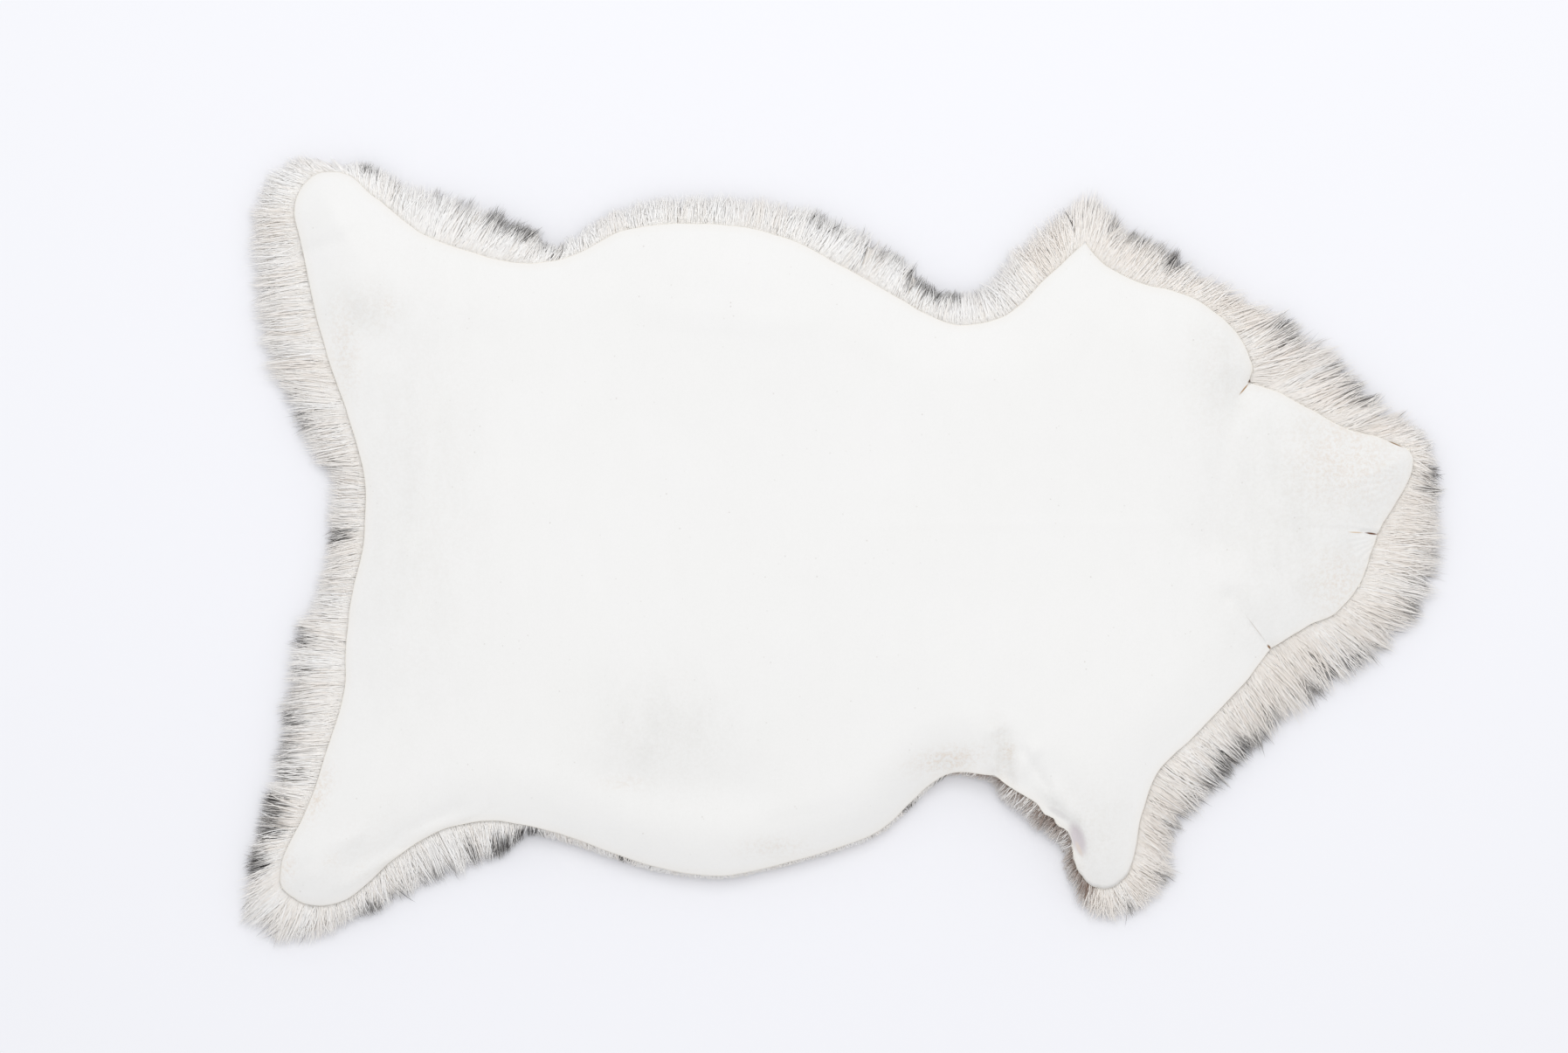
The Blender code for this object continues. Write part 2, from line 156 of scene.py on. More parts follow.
def traceEdge(rows):
    # between two stations the edge is a cubic Hermite span; its slopes are centripetal, so that it
    # doesn't overshoot, and a sharp station has a straight slope on each side; then the knife's
    # small waves move it along its normal, and wool and height ease from station to station
    x, y, sharp, reach, bearing, height = np.array([row[1:] for row in rows], float).T
    point = (x + 1j * y) * mm
    after, before = np.roll(point, -1), np.roll(point, 1)
    spanIn, spanOut = np.sqrt(np.abs(point - before)), np.sqrt(np.abs(after - point))
    slope = (point - before) / spanIn - (after - before) / (spanIn + spanOut) + (after - point) / spanOut
    leaving = np.where(sharp, after - point, slope * spanOut)
    arriving = np.roll(np.where(sharp, point - before, slope * spanIn), -1)
    s = np.linspace(0, 1, edgeSamples, endpoint=False)
    ease = 3 * s**2 - 2 * s**3
    curve = (np.outer(point, 1 - ease) + np.outer(leaving, s**3 - 2 * s**2 + s)
             + np.outer(after, ease) + np.outer(arriving, s**3 - s**2)).ravel()
    tangent = np.roll(curve, -1) - np.roll(curve, 1)
    turn = np.linspace(0, 2 * math.pi, len(curve), endpoint=False)
    wander = sum(rise * mm * np.sin(n * turn + phase) for n, rise, phase in knifeWander)
    curve += 1j * tangent / np.abs(tangent) * wander
    traced = {"place": curve}
    for name, value in (("wool", reach * mm * np.exp(1j * np.radians(bearing))), ("height", height * mm)):
        traced[name] = (value[:, None] + np.outer(np.roll(value, -1) - value, ease)).ravel()
    return traced, fromZero(np.abs(np.roll(curve, -1) - curve))


edge, edgeAlong = traceEdge(cutEdge)
edgeLength = edgeAlong[-1]
edgeMiddle = [(side.min() + side.max()) / 2 for side in (edge["place"].real, edge["place"].imag)]
shift = complex(*(np.array(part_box("hide")).mean(0)[:2] - edgeMiddle))
edge["place"] += shift        # the frame's origin is under the middle of the whole rug


def inFrame(x, y):
    # a table's place, in millimetres, as a place in the frame
    return complex(x, y) * mm + shift


def edgeAt(along):
    # every column of the cut edge, read at distances along it; it wraps round
    around = np.mod(along, edgeLength)
    return {name: np.interp(around, edgeAlong, np.append(value, value[0])) for name, value in edge.items()}


def alongOf(place):
    # distance along the edge of a named station
    return edgeAlong[stationOf[place] * edgeSamples]


print(f"cut edge: {len(cutEdge)} stations, {edgeLength:.2f} m round")


def smooth(value, start, stop):
    # 0 before start, 1 after stop, and 3t^2 - 2t^3 between them
    t = np.clip((value - start) / (stop - start), 0, 1)
    return t * t * (3 - 2 * t)


lattice = {
    "cells": (97, 89),      # each way, after which the noise repeats
    "offset": 40.0,         # of its corner from the frame's middle, in cells
}


def latticeNoise(place, size, seed):
    # random heights from -1 to 1 on a square lattice of this size, joined by smoothstep
    across, down = lattice["cells"]
    table = np.random.default_rng(seed).uniform(-1, 1, (across, down))
    u, v = place.real / size + lattice["offset"], place.imag / size + lattice["offset"]
    i, j = np.floor(u).astype(int), np.floor(v).astype(int)
    a, b = smooth(u - i, 0, 1), smooth(v - j, 0, 1)
    corner = [[table[np.mod(i + p, across), np.mod(j + q, down)] for p in (0, 1)] for q in (0, 1)]
    low, high = [pair[0] * (1 - a) + pair[1] * a for pair in corner]
    return low * (1 - b) + high * b


def awayFromRun(place, start, run):
    # distance from a place to the straight line between start and start + run
    to = place - start
    return np.abs(to - np.clip((to * np.conj(run)).real / np.abs(run) ** 2, 0, 1) * run)


edgeRuns = 620          # straight runs that stand for the edge when distances are taken
leastGap = 0.1          # under which a nearer run weighs no more


def nearestEdge(place, chunk=2000):
    # distance to the nearest run of the cut edge, and the border's height, weighted by 1/distance^3
    steps = edgeAt(np.linspace(0, edgeLength, edgeRuns, endpoint=False))
    run = np.roll(steps["place"], -1) - steps["place"]
    flat = place.ravel()
    away, border = np.empty(len(flat)), np.empty(len(flat))
    for first in range(0, len(flat), chunk):
        gap = awayFromRun(flat[first:first + chunk, None], steps["place"], run)
        weight = 1 / (gap + leastGap * mm) ** 3
        away[first:first + chunk] = gap.min(1)
        border[first:first + chunk] = (weight * steps["height"]).sum(1) / weight.sum(1)
    return away.reshape(place.shape), border.reshape(place.shape)


def raised(place, height):
    # points from places on the plan and the heights over them
    return np.stack([place.real, place.imag, height], axis=-1)


def newObject(name, data):
    # an object at the origin, linked to the scene
    thing = bpy.data.objects.new(name, data)
    bpy.context.scene.collection.objects.link(thing)
    return thing


def newPiece(name, points, faces, material, placed=None, values=None, rounded=True):
    # whole arrays go into the mesh at once; faces are arrays of quads or triangles, placed is each
    # vertex's place on the piece's own map, and rounded shades its faces as one smooth surface
    points = points.reshape(-1, 3)
    corners = np.concatenate([part.ravel() for part in faces]).astype(np.int32)
    sizes = np.concatenate([np.full(len(part), part.shape[1]) for part in faces]).astype(np.int32)
    mesh = bpy.data.meshes.new(name)
    mesh.vertices.add(len(points))
    mesh.vertices.foreach_set("co", points.astype(np.float32).ravel())
    mesh.loops.add(len(corners))
    mesh.loops.foreach_set("vertex_index", corners)
    mesh.polygons.add(len(sizes))
    mesh.polygons.foreach_set("loop_start", fromZero(sizes)[:-1].astype(np.int32))
    mesh.polygons.foreach_set("loop_total", sizes)
    mesh.update(calc_edges=True)
    if rounded:
        mesh.shade_smooth()
    else:
        mesh.shade_flat()
    if placed is not None:
        layer = mesh.uv_layers.new(name="OFBake")
        layer.data.foreach_set("uv", placed[corners].astype(np.float32).ravel())
    for key, value in (values or {}).items():
        attribute = mesh.attributes.new(key, "FLOAT", "POINT")
        attribute.data.foreach_set("value", value.astype(np.float32).ravel())
    mesh.materials.append(material)
    piece = newObject(name, mesh)
    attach(piece, "root")
    print(f"{name}: {(sizes - 2).sum()} triangles")
    return piece


def gridQuads(shape, first=0):
    # the cells of a grid whose point (i, j) is number first + i * nv + j, facing up where i x j is up
    nu, nv = shape
    i, j = np.meshgrid(np.arange(nu - 1), np.arange(nv - 1), indexing="ij")
    k = first + i * nv + j
    return np.stack([k, k + nv, k + nv + 1, k + 1], axis=-1).reshape(-1, 4)


def linear(hexColour):
    # sRGB hex to linear RGBA
    parts = [int(hexColour[i:i + 2], 16) / 255 for i in (0, 2, 4)]
    return (*[c / 12.92 if c <= 0.04045 else ((c + 0.055) / 1.055) ** 2.4 for c in parts], 1.0)


def addNode(tree, kind, inputs=None, **settings):
    # one node with its settings and links; each input is a value, a colour in hex, or a socket to
    # link from; gives the node's first output that is in use
    node = tree.nodes.new("ShaderNode" + kind)
    for name, value in settings.items():
        setattr(node, name, value)
    for name, value in (inputs or {}).items():
        if isinstance(value, bpy.types.NodeSocket):
            tree.links.new(value, node.inputs[name])
        else:
            node.inputs[name].default_value = linear(value) if isinstance(value, str) else value
    return next(socket for socket in node.outputs if socket.enabled)


def newMaterial(name):
    # a material, its node tree and its shader
    material = bpy.data.materials.new(name)
    material.use_nodes = True
    return material, material.node_tree, material.node_tree.nodes["Principled BSDF"]


# how the hide lies on its wool
lie = {
    "thickness": 2.0,       # from the wool up to the napped face
    "pileHeight": 38,       # under the middle of the rug
    "edgeRoll": 55,         # width of the border that falls to the cut edge
    "edgeRound": 0.9,       # of the napped face at the cut
    "roundness": 0.9,       # of that round; 1 would be a quarter of a circle
    # bearing, wavelength, height, phase of the slow swell
    "waves": ((20, 430, 1.3, 40), (78, 310, 1.1, 200), (131, 235, 0.8, 110)),
    # name, x and y of both ends, half width, height
    "folds": (
        ("neck trough", 352, 132, 329, 8, 24, -6.0),
        ("lower neck crease", 374, -86, 340, -42, 9, -3.5),
        ("armpit ridge", 131, -190, 130, -160, 6, 3.0),
        ("armpit trough", 143, -200, 139, -164, 6, -3.0),
        ("armpit swell", 152, -196, 166, -176, 7, 3.0),
        ("foreleg roll", 184, -212, 216, -248, 8, 2.6),
        ("foreleg gutter", 184, -227, 203, -246, 5, -2.4),
        ("foreleg gutter low", 203, -246, 211, -272, 5, -3.8),
        ("hind leg ridge", -478, -272, -424, -250, 6, 1.8),
        ("hind leg roll", -440, -296, -360, -246, 7, 1.8),
        ("hind leg trough", -430, -276, -340, -228, 8, -1.6),
        ("toe crease", -472, 260, -432, 276, 7, -2.4),
        ("rump trough", -398, 172, -392, 30, 26, -3.5),
        ("belly trough", -208, -202, -92, -214, 24, -3.5),
        ("flank ridge", -170, 214, -40, 196, 16, 1.8),
    ),
    "creases": (
        ("notch crease", 359, 149, 349, 136, 2.6, -1.2),
        ("notch valley", 349, 136, 338, 96, 7.0, -0.9),
        ("lower notch crease", 376, -87, 358, -66, 2.0, -1.2),
        ("lower notch line", 358, -66, 339, -42, 3.0, -0.8),
        ("dart slit", 455, 14.5, 471, 12.5, 2.6, -1.2),
        ("dart lip", 456, 19, 473, 17, 2.6, 0.8),
        ("dart line", 410, 19, 455, 16, 2.5, -0.5),
        ("muzzle step", 487, 60, 499, 52, 2.0, -0.7),
        ("armpit crease", 157, -177, 179, -210, 3.4, -1.6),
        ("foreleg wrinkle", 214, -255, 231, -249, 2.2, 0.7),
        ("foreleg wrinkle low", 211, -266, 224, -268, 2.2, 0.6),
        ("leg line toe", -481, -299, -435, -277, 3.6, -0.7),
        ("leg line shin", -435, -281, -387, -262, 3.0, -0.9),
        ("leg line thigh", -387, -262, -335, -240, 3.0, -0.9),
        ("leg ridge", -472, -268, -424, -249, 3.2, 0.8),
        ("hip line", -418, -262, -348, -240, 3.0, 0.6),
        ("packing fold across", -13, 250, -13, -208, 4.0, 0.35),
        ("packing fold along", 26, 22, 294, 22, 4.0, 0.30),
        ("flank wrinkle a", -174, 220, -92, 209, 2.5, -0.25),
        ("flank wrinkle b", -128, 204, -28, 186, 2.5, -0.25),
        ("flank wrinkle c", -150, 190, -70, 182, 2.2, -0.20),
        ("toe wrinkle", -470, 306, -452, 288, 3.0, -0.4),
        ("toe crease line", -475, 264, -443, 271, 2.6, -0.8),
        ("chest wrinkle", -60, -238, 0, -226, 5.0, -0.5),
        ("lobe line", 322, 196, 342, 168, 4.0, -0.5),
    ),
    # name, x and y of the point they run from, bearing, half spread, from, to, creases a turn, height
    "puckers": (
        ("muzzle", 516, 66, 181, 42, 24, 92, 62, 0.22),
        ("dart", 477, 13, 196, 64, 6, 46, 34, 0.30),
        ("armpit", 138, -203, 84, 50, 8, 60, 40, 0.28),
        ("lower notch", 378, -90, 140, 60, 6, 48, 30, 0.20),
        ("upper notch", 358, 149, 236, 50, 6, 44, 30, 0.22),
        ("foreleg", 204, -250, 40, 70, 8, 40, 26, 0.25),
    ),
    "puckerWander": (14, 1.2, 31),    # of the puckers: noise size, radians, seed
    "puckerStart": 8,                 # over which each one starts
    "puckerFull": (0.4, 0.5),         # shares of its half spread and of its end up to which it is whole
    # size, height and seed of the uneven surface left by the fleshing knife
    "unevenness": ((46, 0.40, 50), (19, 0.16, 51), (8, 0.07, 52)),
}


def creaseRelief(place, rows):
    # each fold is a bell across the line between its ends: height * exp(-(distance / half width)^2)
    relief = np.zeros(place.shape)
    for _, x0, y0, x1, y1, halfWidth, height in rows:
        away = awayFromRun(place, inFrame(x0, y0), complex(x1 - x0, y1 - y0) * mm)
        relief += height * mm * np.exp(-((away / (halfWidth * mm)) ** 2))
    return relief


def puckerRelief(place, rows):
    # waves across the bearing from one point, inside a sector: height * cos(creases * angle), with
    # the sector's sides and both its ends eased
    size, swing, seed = lie["puckerWander"]
    wander = swing * latticeNoise(place, size * mm, seed)
    fullSide, fullEnd = lie["puckerFull"]
    relief = np.zeros(place.shape)
    for _, x, y, bearing, spread, start, stop, creases, height in rows:
        to = (place - inFrame(x, y)) * np.exp(-1j * math.radians(bearing))
        away, angle = np.abs(to) / mm, np.angle(to)
        side = 1 - smooth(np.abs(angle), fullSide * math.radians(spread), math.radians(spread))
        ends = smooth(away, start, start + lie["puckerStart"]) * (1 - smooth(away, fullEnd * stop, stop))
        relief += height * mm * side * ends * np.cos(creases * angle + wander)
    return relief


def hideUnderside(place):
    # pressed pile in the middle, falling by a quarter sine to the border, with its swell and folds
    away, border = nearestEdge(place)
    ease = np.sin(np.clip(away / (lie["edgeRoll"] * mm), 0, 1) * math.pi / 2)
    height = border + (lie["pileHeight"] * mm - border) * ease
    for bearing, wavelength, rise, phase in lie["waves"]:
        along = ((place - shift) * np.exp(-1j * math.radians(bearing))).real
        height += rise * mm * ease * np.sin(2 * math.pi * along / (wavelength * mm) + math.radians(phase))
    return height + creaseRelief(place, lie["folds"]), away


def hideRelief(place, away):
    # the small forms of the napped face: creases, puckers, the fleshing knife's unevenness and the
    # round of the cut edge
    relief = creaseRelief(place, lie["creases"]) + puckerRelief(place, lie["puckers"])
    for size, height, seed in lie["unevenness"]:
        relief += height * mm * latticeNoise(place, size * mm, seed)
    short = 1 - np.clip(away / (lie["edgeRound"] * mm), 0, 1)
    return relief - lie["edgeRound"] * mm * (1 - np.sqrt(1 - lie["roundness"] * short**2))


# the plan of the hide, as a four-sided patch
plan = {
    "columns": 300,
    "rows": 120,
    "relaxRounds": 900,
    "rimShares": (0.10, 0.30, 0.62),    # extra lines inside the outermost cells
    # places that face each other across the skin, from rump to muzzle, and how finely each
    # stretch between two of them is divided
    "facing": (
        ("lower leg corner", "upper leg corner", 1.0), ("lower hollow", "upper hollow", 0.9),
        ("lower belly", "upper belly crown", 0.9), ("lower armpit", "upper armpit", 1.0),
        ("lower foreleg toe", "upper foreleg point", 1.1), ("lower notch", "upper notch", 1.7),
        ("chin curve", "muzzle corner", 1.0),
    ),
}


def relaxGrid(grid, rounds):
    # inner points move until both families of lines run evenly (Winslow's equations): each is the
    # mean of its neighbours, weighted by the other family's spacing, less the slant term
    for _ in range(rounds):
        east, west, north, south = grid[2:, 1:-1], grid[:-2, 1:-1], grid[1:-1, 2:], grid[1:-1, :-2]
        du, dv = (east - west) / 2, (north - south) / 2
        alpha, beta, gamma = [(a * b.conj()).real for a, b in ((dv, dv), (du, dv), (du, du))]
        slant = grid[2:, 2:] - grid[2:, :-2] - grid[:-2, 2:] + grid[:-2, :-2]
        moved = alpha * (east + west) + gamma * (north + south) - beta * slant / 2
        grid[1:-1, 1:-1] = moved / (2 * (alpha + gamma))
    return grid


def planGrid():
    # u runs from rump to muzzle and v from the lower to the upper edge; the four curved sides are
    # blended across (Coons) and the inside is then relaxed
    lower, upper = [np.array([alongOf(row[k]) for row in plan["facing"]]) for k in (0, 1)]
    spans = np.diff(upper) + np.abs(np.diff(lower))
    weighted = spans * [row[2] for row in plan["facing"][:-1]]
    counts = np.round(weighted / weighted.sum() * plan["columns"]).astype(int)
    marks, index = fromZero(spans / spans.sum()), fromZero(counts)
    u = np.interp(np.arange(index[-1] + 1), index, marks)
    v = np.linspace(0, 1, plan["rows"] + 1)
    top, bottom, rump, muzzle = [edgeAt(along)["place"] for along in (
        np.interp(u, marks, upper), np.interp(u, marks, lower),
        lower[0] + v * (upper[0] + edgeLength - lower[0]), lower[-1] + v * (upper[-1] - lower[-1]))]
    top, bottom, u = top[:, None], bottom[:, None], u[:, None]
    grid = (1 - v) * bottom + v * top + (1 - u) * rump + u * muzzle
    grid -= (1 - u) * ((1 - v) * bottom[0] + v * top[0]) + u * ((1 - v) * bottom[-1] + v * top[-1])
    return relaxGrid(grid, plan["relaxRounds"])


def withRimLines(grid):
    # extra grid lines close to all four sides, by straight interpolation in the outermost cells
    shares = np.array(plan["rimShares"])
    for axis in (0, 1):
        last = grid.shape[axis] - 1
        at = np.concatenate([[0], shares, np.arange(1, last), (last - shares)[::-1], [last]])
        low = np.minimum(np.floor(at).astype(int), last - 1)
        share = (at - low).reshape([-1, 1] if axis == 0 else [1, -1])
        grid = np.take(grid, low, axis) * (1 - share) + np.take(grid, low + 1, axis) * share
    return grid


coarseGrid = planGrid()
skinGrid = withRimLines(coarseGrid)
skinUnder, skinAway = hideUnderside(skinGrid)
print("hide: plan grid", skinGrid.shape)

# the hide's stains, grey thin places and painted shade (the rows named shade, the hind leg's line and the
# fold's tan): name, x, y, half length, half width, bearing, warm, grey
skinMarks = (
    ("cheek speckle", 440, 80, 46, 42, 0, 0.55, 0.2),
    ("chin speckle", 433, -28, 26, 28, 0, 0.50, 0.2),
    # painted shade over the neck
    ("neck shade", 415, 37, 95, 125, 0, 0.06, 0.42),
    ("hock stain", -462, -216, 24, 8, 68, 0.70, 0.1),
    ("toe stain", -491, -278, 15, 8, 95, 0.55, 0.1),
    ("shin spot", -450, -274, 7, 5, 0, 0.45, 0.1),
    ("shin spot low", -427, -285, 6, 5, 0, 0.35, 0.1),
    ("upper rump speckle", -439, 179, 42, 13, 95, 0.40, 0.3),
    ("upper leg spot", -400, 214, 8, 8, 0, 0.4, 0.1),
    ("upper leg mottle", -420, 210, 34, 24, 0, 0.15, 0.45),
    ("rump streaks", -381, 49, 62, 180, 0, 0.05, 0.25),
    ("belly patch", -159, -164, 58, 50, 0, 0.05, 0.40),
    ("belly stain", -193, -205, 20, 6, 0, 0.30, 0.2),
    ("chest stain", -63, -262, 28, 8, 0, 0.35, 0.2),
    ("armpit stain", 91, -185, 30, 10, 8, 0.70, 0.3),
    ("armpit spot", 143, -178, 9, 6, 100, 0.7, 0.3),
    # painted shade in the armpit's trough and down the fold beside it
    ("armpit shade", 140, -184, 30, 10, 100, 0.25, 0.5),
    ("armpit side shade", 184, -212, 26, 7, -50, 0.05, 0.2),
    ("fold shade", 186, -226, 30, 6, -42, 0.05, 0.5),
    # tan in the fold's hollow, under painted shade
    ("fold tan with painted shade", 208, -264, 12, 4, -76, 0.25, 0.8),
    # painted shade over the foreleg's folds
    ("foreleg shade", 214, -250, 34, 44, 0, 0.10, 0.4),
    # painted shade over the hind leg and along its crease
    ("hind leg shade", -420, -262, 80, 34, 27, 0.05, 0.12),
    ("hind leg line", -386, -268, 62, 3.2, 29, 0.05, 0.6),
    # painted shade over the lobe by the upper notch's trough
    ("lobe shade", 330, 150, 34, 60, 0, 0.10, 0.35),
)


def markFields(place):
    # each mark is a bell over an ellipse: strength * exp(-(u/a)^2 - (v/b)^2); the strongest wins
    warm, grey = np.zeros(place.shape), np.zeros(place.shape)
    for _, x, y, halfLength, halfWidth, bearing, warmth, greyAndShade in skinMarks:
        to = (place - inFrame(x, y)) * np.exp(-1j * math.radians(bearing)) / mm
        bell = np.exp(-((to.real / halfLength) ** 2) - (to.imag / halfWidth) ** 2)
        warm, grey = np.maximum(warm, warmth * bell), np.maximum(grey, greyAndShade * bell)
    return warm, grey


# slits, nicks, spots and painted shade in creases and folds, too fine for the grid: name, x, y, half
# length, half width, bearing, colour
fineMarks = (
    ("dart slit", 463.5, 13.8, 7.0, 1.1, -8, "6a4631"),
    ("dart end", 471, 11.5, 4.0, 1.7, -60, "a9855f"),
    ("dart ray", 449, 14.8, 8.0, 0.7, -3, "d8c4ab"),
    ("notch point", 357.5, 148.5, 3.4, 1.5, 48, "6a4a33"),
    ("notch line", 352, 141, 8.0, 0.9, 50, "b0906d"),
    ("lower notch point", 374, -86, 3.0, 1.3, -50, "8a6a4e"),
    # painted shade along the lower notch's crease
    ("lower notch line", 362, -70, 17, 0.6, 128, "dcd8d2"),
    ("muzzle rim", 485, 92.5, 9, 0.8, -22, "9a7f63"),
    ("armpit rim", 146.3, 211.8, 4.5, 0.9, 36, "8f7460"),
    ("flank dot", 146, 214, 1.3, 1.1, 0, "a08468"),
    # painted shade on the fold's face and in its hollow, with the tan inside that shade
    ("fold face painted shade", 188, -232, 13, 3.6, -32, "e2e0de"),
    ("fold hollow painted shade", 205.4, -254.5, 18, 7.5, -71, "d6cfd1"),
    ("fold tan with painted shade", 206.5, -263.5, 9, 2.4, -66, "e0d5cd"),
)
suede = {
    # size, detail and roughness of its patterns: nap (really 1 mm), mottle, broad tone, speckle
    "patterns": ((2.6, 6.0, 0.62), (17, 5.0, 0.60), (90, 3.0, 0.50), (3.4, 4.0, 0.75)),
    "streak": 0.42,         # scale of the mottle across the back, against along it
    "follicles": 9,
    "greyEverywhere": 0.08,
    "markBorder": 0.55,     # soft share of a fine mark
}


def ellipseMark(tree, place, row, under):
    # one ellipse with a soft border, laid over the colour under it
    _, x, y, halfLength, halfWidth, bearing, colour = row
    spot = inFrame(x, y)
    own = addNode(tree, "Mapping", {
        "Vector": place, "Location": (spot.real, spot.imag, 0), "Rotation": (0, 0, math.radians(bearing)),
        "Scale": (halfLength * mm, halfWidth * mm, 1)}, vector_type="TEXTURE")
    level = addNode(tree, "Mapping", {"Vector": own, "Scale": (1, 1, 0)})
    away = addNode(tree, "TexGradient", {"Vector": level}, gradient_type="SPHERICAL").node.outputs["Fac"]
    share = addNode(tree, "MapRange", {"Value": away, "From Max": suede["markBorder"]})
    return addNode(tree, "Mix", {0: share, 6: under, 7: colour}, data_type="RGBA")


def makeSuede():
    # sheepskin, alum tanned and buffed on the flesh side: chalk white, quite matt, with a short nap,
    # fine follicle specks, soft grey mottling where it is thin and tan stains where it is greasy; the
    # grey marks also paint shade in its folds, troughs and creases, and a painted highlight runs along
    # the cut edge
    material, tree, shader = newMaterial("sheepskin_suede_buffed")
    place = addNode(tree, "TexCoord").node.outputs["Object"]
    warmth, greyAndShade, fromEdge = [addNode(tree, "Attribute", attribute_name=name).node.outputs["Fac"]
                                  for name in ("warmth", "greyAndShade", "fromEdge")]
    streaked = addNode(tree, "Mapping", {"Vector": place, "Scale": (1.0, suede["streak"], 1.0)})
    nap, mottle, broad, speckle = [
        addNode(tree, "TexNoise", {"Vector": source, "Scale": 1 / (size * mm), "Detail": detail,
                                   "Roughness": roughness})
        for source, (size, detail, roughness) in zip((place, streaked, place, place), suede["patterns"])]
    follicle = addNode(tree, "TexVoronoi", {"Vector": place, "Scale": 1 / (suede["follicles"] * mm)})
    grains = addNode(tree, "Math", {0: mottle, 1: speckle}, operation="ADD")
    greyBase = addNode(tree, "Math", {0: greyAndShade, 1: suede["greyEverywhere"]}, operation="ADD")
    # each range: what it is read from, where it starts and ends, and its strength there
    # the last range paints a highlight along the cut edge's round; the one before it is the edge's own tan
    pit, somePits, greyGrain, warmGrain, edgeTan, edgeHighlight = [
        addNode(tree, "MapRange", {"Value": value, "From Min": start, "From Max": stop,
                                   "To Min": first, "To Max": last})
        for value, start, stop, first, last in (
            (follicle, 0.05, 0.11, 1.0, 0.0), (mottle, 0.52, 0.64, 0.0, 0.34),
            (grains, 0.84, 1.22, 0.5, 1.0), (speckle, 0.44, 0.66, 0.0, 1.0),
            (fromEdge, 1.0 * mm, 8 * mm, 0.14, 0.0), (fromEdge, 0.3 * mm, 1.1 * mm, 0.8, 0.0))]
    pits, greyAndShadeShare, warmShare = [
        addNode(tree, "Math", {0: mask, 1: grain}, operation="MULTIPLY")
        for mask, grain in ((pit, somePits), (greyBase, greyGrain), (warmth, warmGrain))]
    colour = addNode(tree, "Mix", {0: broad, 6: "f3f2ef", 7: "f5f4f2"}, data_type="RGBA")
    # over the broad tone: grey mottling with the marks' painted shade, tan stains, the edge's tan,
    # follicle pits, and the painted highlight on the cut edge
    for share, layer in ((greyAndShadeShare, "dddcd8"), (warmShare, "e4d3c2"), (edgeTan, "eadfce"),
                         (pits, "b9b2a8"), (edgeHighlight, "f6f1e6")):
        colour = addNode(tree, "Mix", {0: share, 6: colour, 7: layer}, data_type="RGBA")
    for row in fineMarks:
        colour = ellipseMark(tree, place, row, colour)
    napBump = addNode(tree, "Bump", {"Height": nap, "Strength": 0.35, "Distance": 0.5 * mm})
    grainBump = addNode(tree, "Bump", {"Height": mottle, "Strength": 0.5, "Distance": 0.8 * mm,
                                       "Normal": napBump})
    tree.links.new(colour, shader.inputs["Base Color"])
    tree.links.new(grainBump, shader.inputs["Normal"])
    shader.inputs["Roughness"].default_value = 0.92
    shader.inputs["Sheen Weight"].default_value = 0.12
    shader.inputs["Specular IOR Level"].default_value = 0.25
    return material


def makeHide():
    # one skin: the napped face on the plan grid, given its thickness downwards
    topZ = skinUnder + lie["thickness"] * mm + hideRelief(skinGrid, skinAway)
    warm, grey = markFields(skinGrid)
    piece = newPiece("hideSkin", raised(skinGrid, topZ), (gridQuads(skinGrid.shape),), makeSuede(),
                     values={"warmth": warm, "greyAndShade": grey, "fromEdge": skinAway})
    wall = piece.modifiers.new("thickness", "SOLIDIFY")
    wall.thickness = lie["thickness"] * mm
    wall.offset = -1
    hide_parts("hide")
    return piece


hideSkin = makeHide()

# the fleece as a body: what the locks stand on
body = {
    "step": 2,              # every second grid line of the hide's plan
    "underHide": 1.8,       # gap under the hide's wool side, where no crease dips into it
    # share of the wool's reach, share of the border's height
    "rim": ((0.02, 0.85), (0.14, 0.82), (0.30, 0.76), (0.45, 0.67), (0.58, 0.56), (0.68, 0.44),
            (0.74, 0.30), (0.70, 0.18), (0.50, 0.12), (0.10, 0.12)),
    "shortWool": 0.2,       # share of the rim's reach that is left where the wool is short
    "widens": (16, 34),     # the wool's reaches between which the rim grows to its whole reach
    "rimLumps": (9, 0.8, 60),    # size, height, seed of the first ring
    "bedHeight": 7.5,       # of the bed of wool, over the staples that it stands on
    "bedLumps": 2.0,
    "lumpSizes": ((17, 1.0, 71), (8, 0.4, 72)),    # size, share of that height, seed
}


def gridLoop(nu, nv):
    # the numbers of a grid's border points, once round: lower side, muzzle, upper side, rump
    i, j = np.arange(nu), np.arange(nv)
    return np.concatenate([i[:-1] * nv, (nu - 1) * nv + j[:-1], i[:0:-1] * nv + nv - 1, j[:0:-1]])


def alongOfPoints(place):
    # for points on the cut edge, the distance along it of the nearest of its samples
    return edgeAlong[np.abs(place[:, None] - edge["place"]).argmin(1)]


def makeDown():
    # lambswool down near the skin: cream, matt, felted into soft tufts
    material, tree, shader = newMaterial("lambswool_down")
    place = addNode(tree, "TexCoord").node.outputs["Object"]
    tuft = addNode(tree, "TexNoise", {"Vector": place, "Scale": 1 / (9 * mm), "Detail": 6.0,
                                      "Roughness": 0.65, "Distortion": 0.8})
    share = addNode(tree, "MapRange", {"Value": tuft, "From Min": 0.3, "From Max": 0.7})
    colour = addNode(tree, "Mix", {0: share, 6: "e9e2d9", 7: "f5f1ec"}, data_type="RGBA")
    bump = addNode(tree, "Bump", {"Height": tuft, "Strength": 0.7, "Distance": 2 * mm})
    tree.links.new(colour, shader.inputs["Base Color"])
    tree.links.new(bump, shader.inputs["Normal"])
    shader.inputs["Roughness"].default_value = 0.95
    shader.inputs["Sheen Weight"].default_value = 0.2
    return material


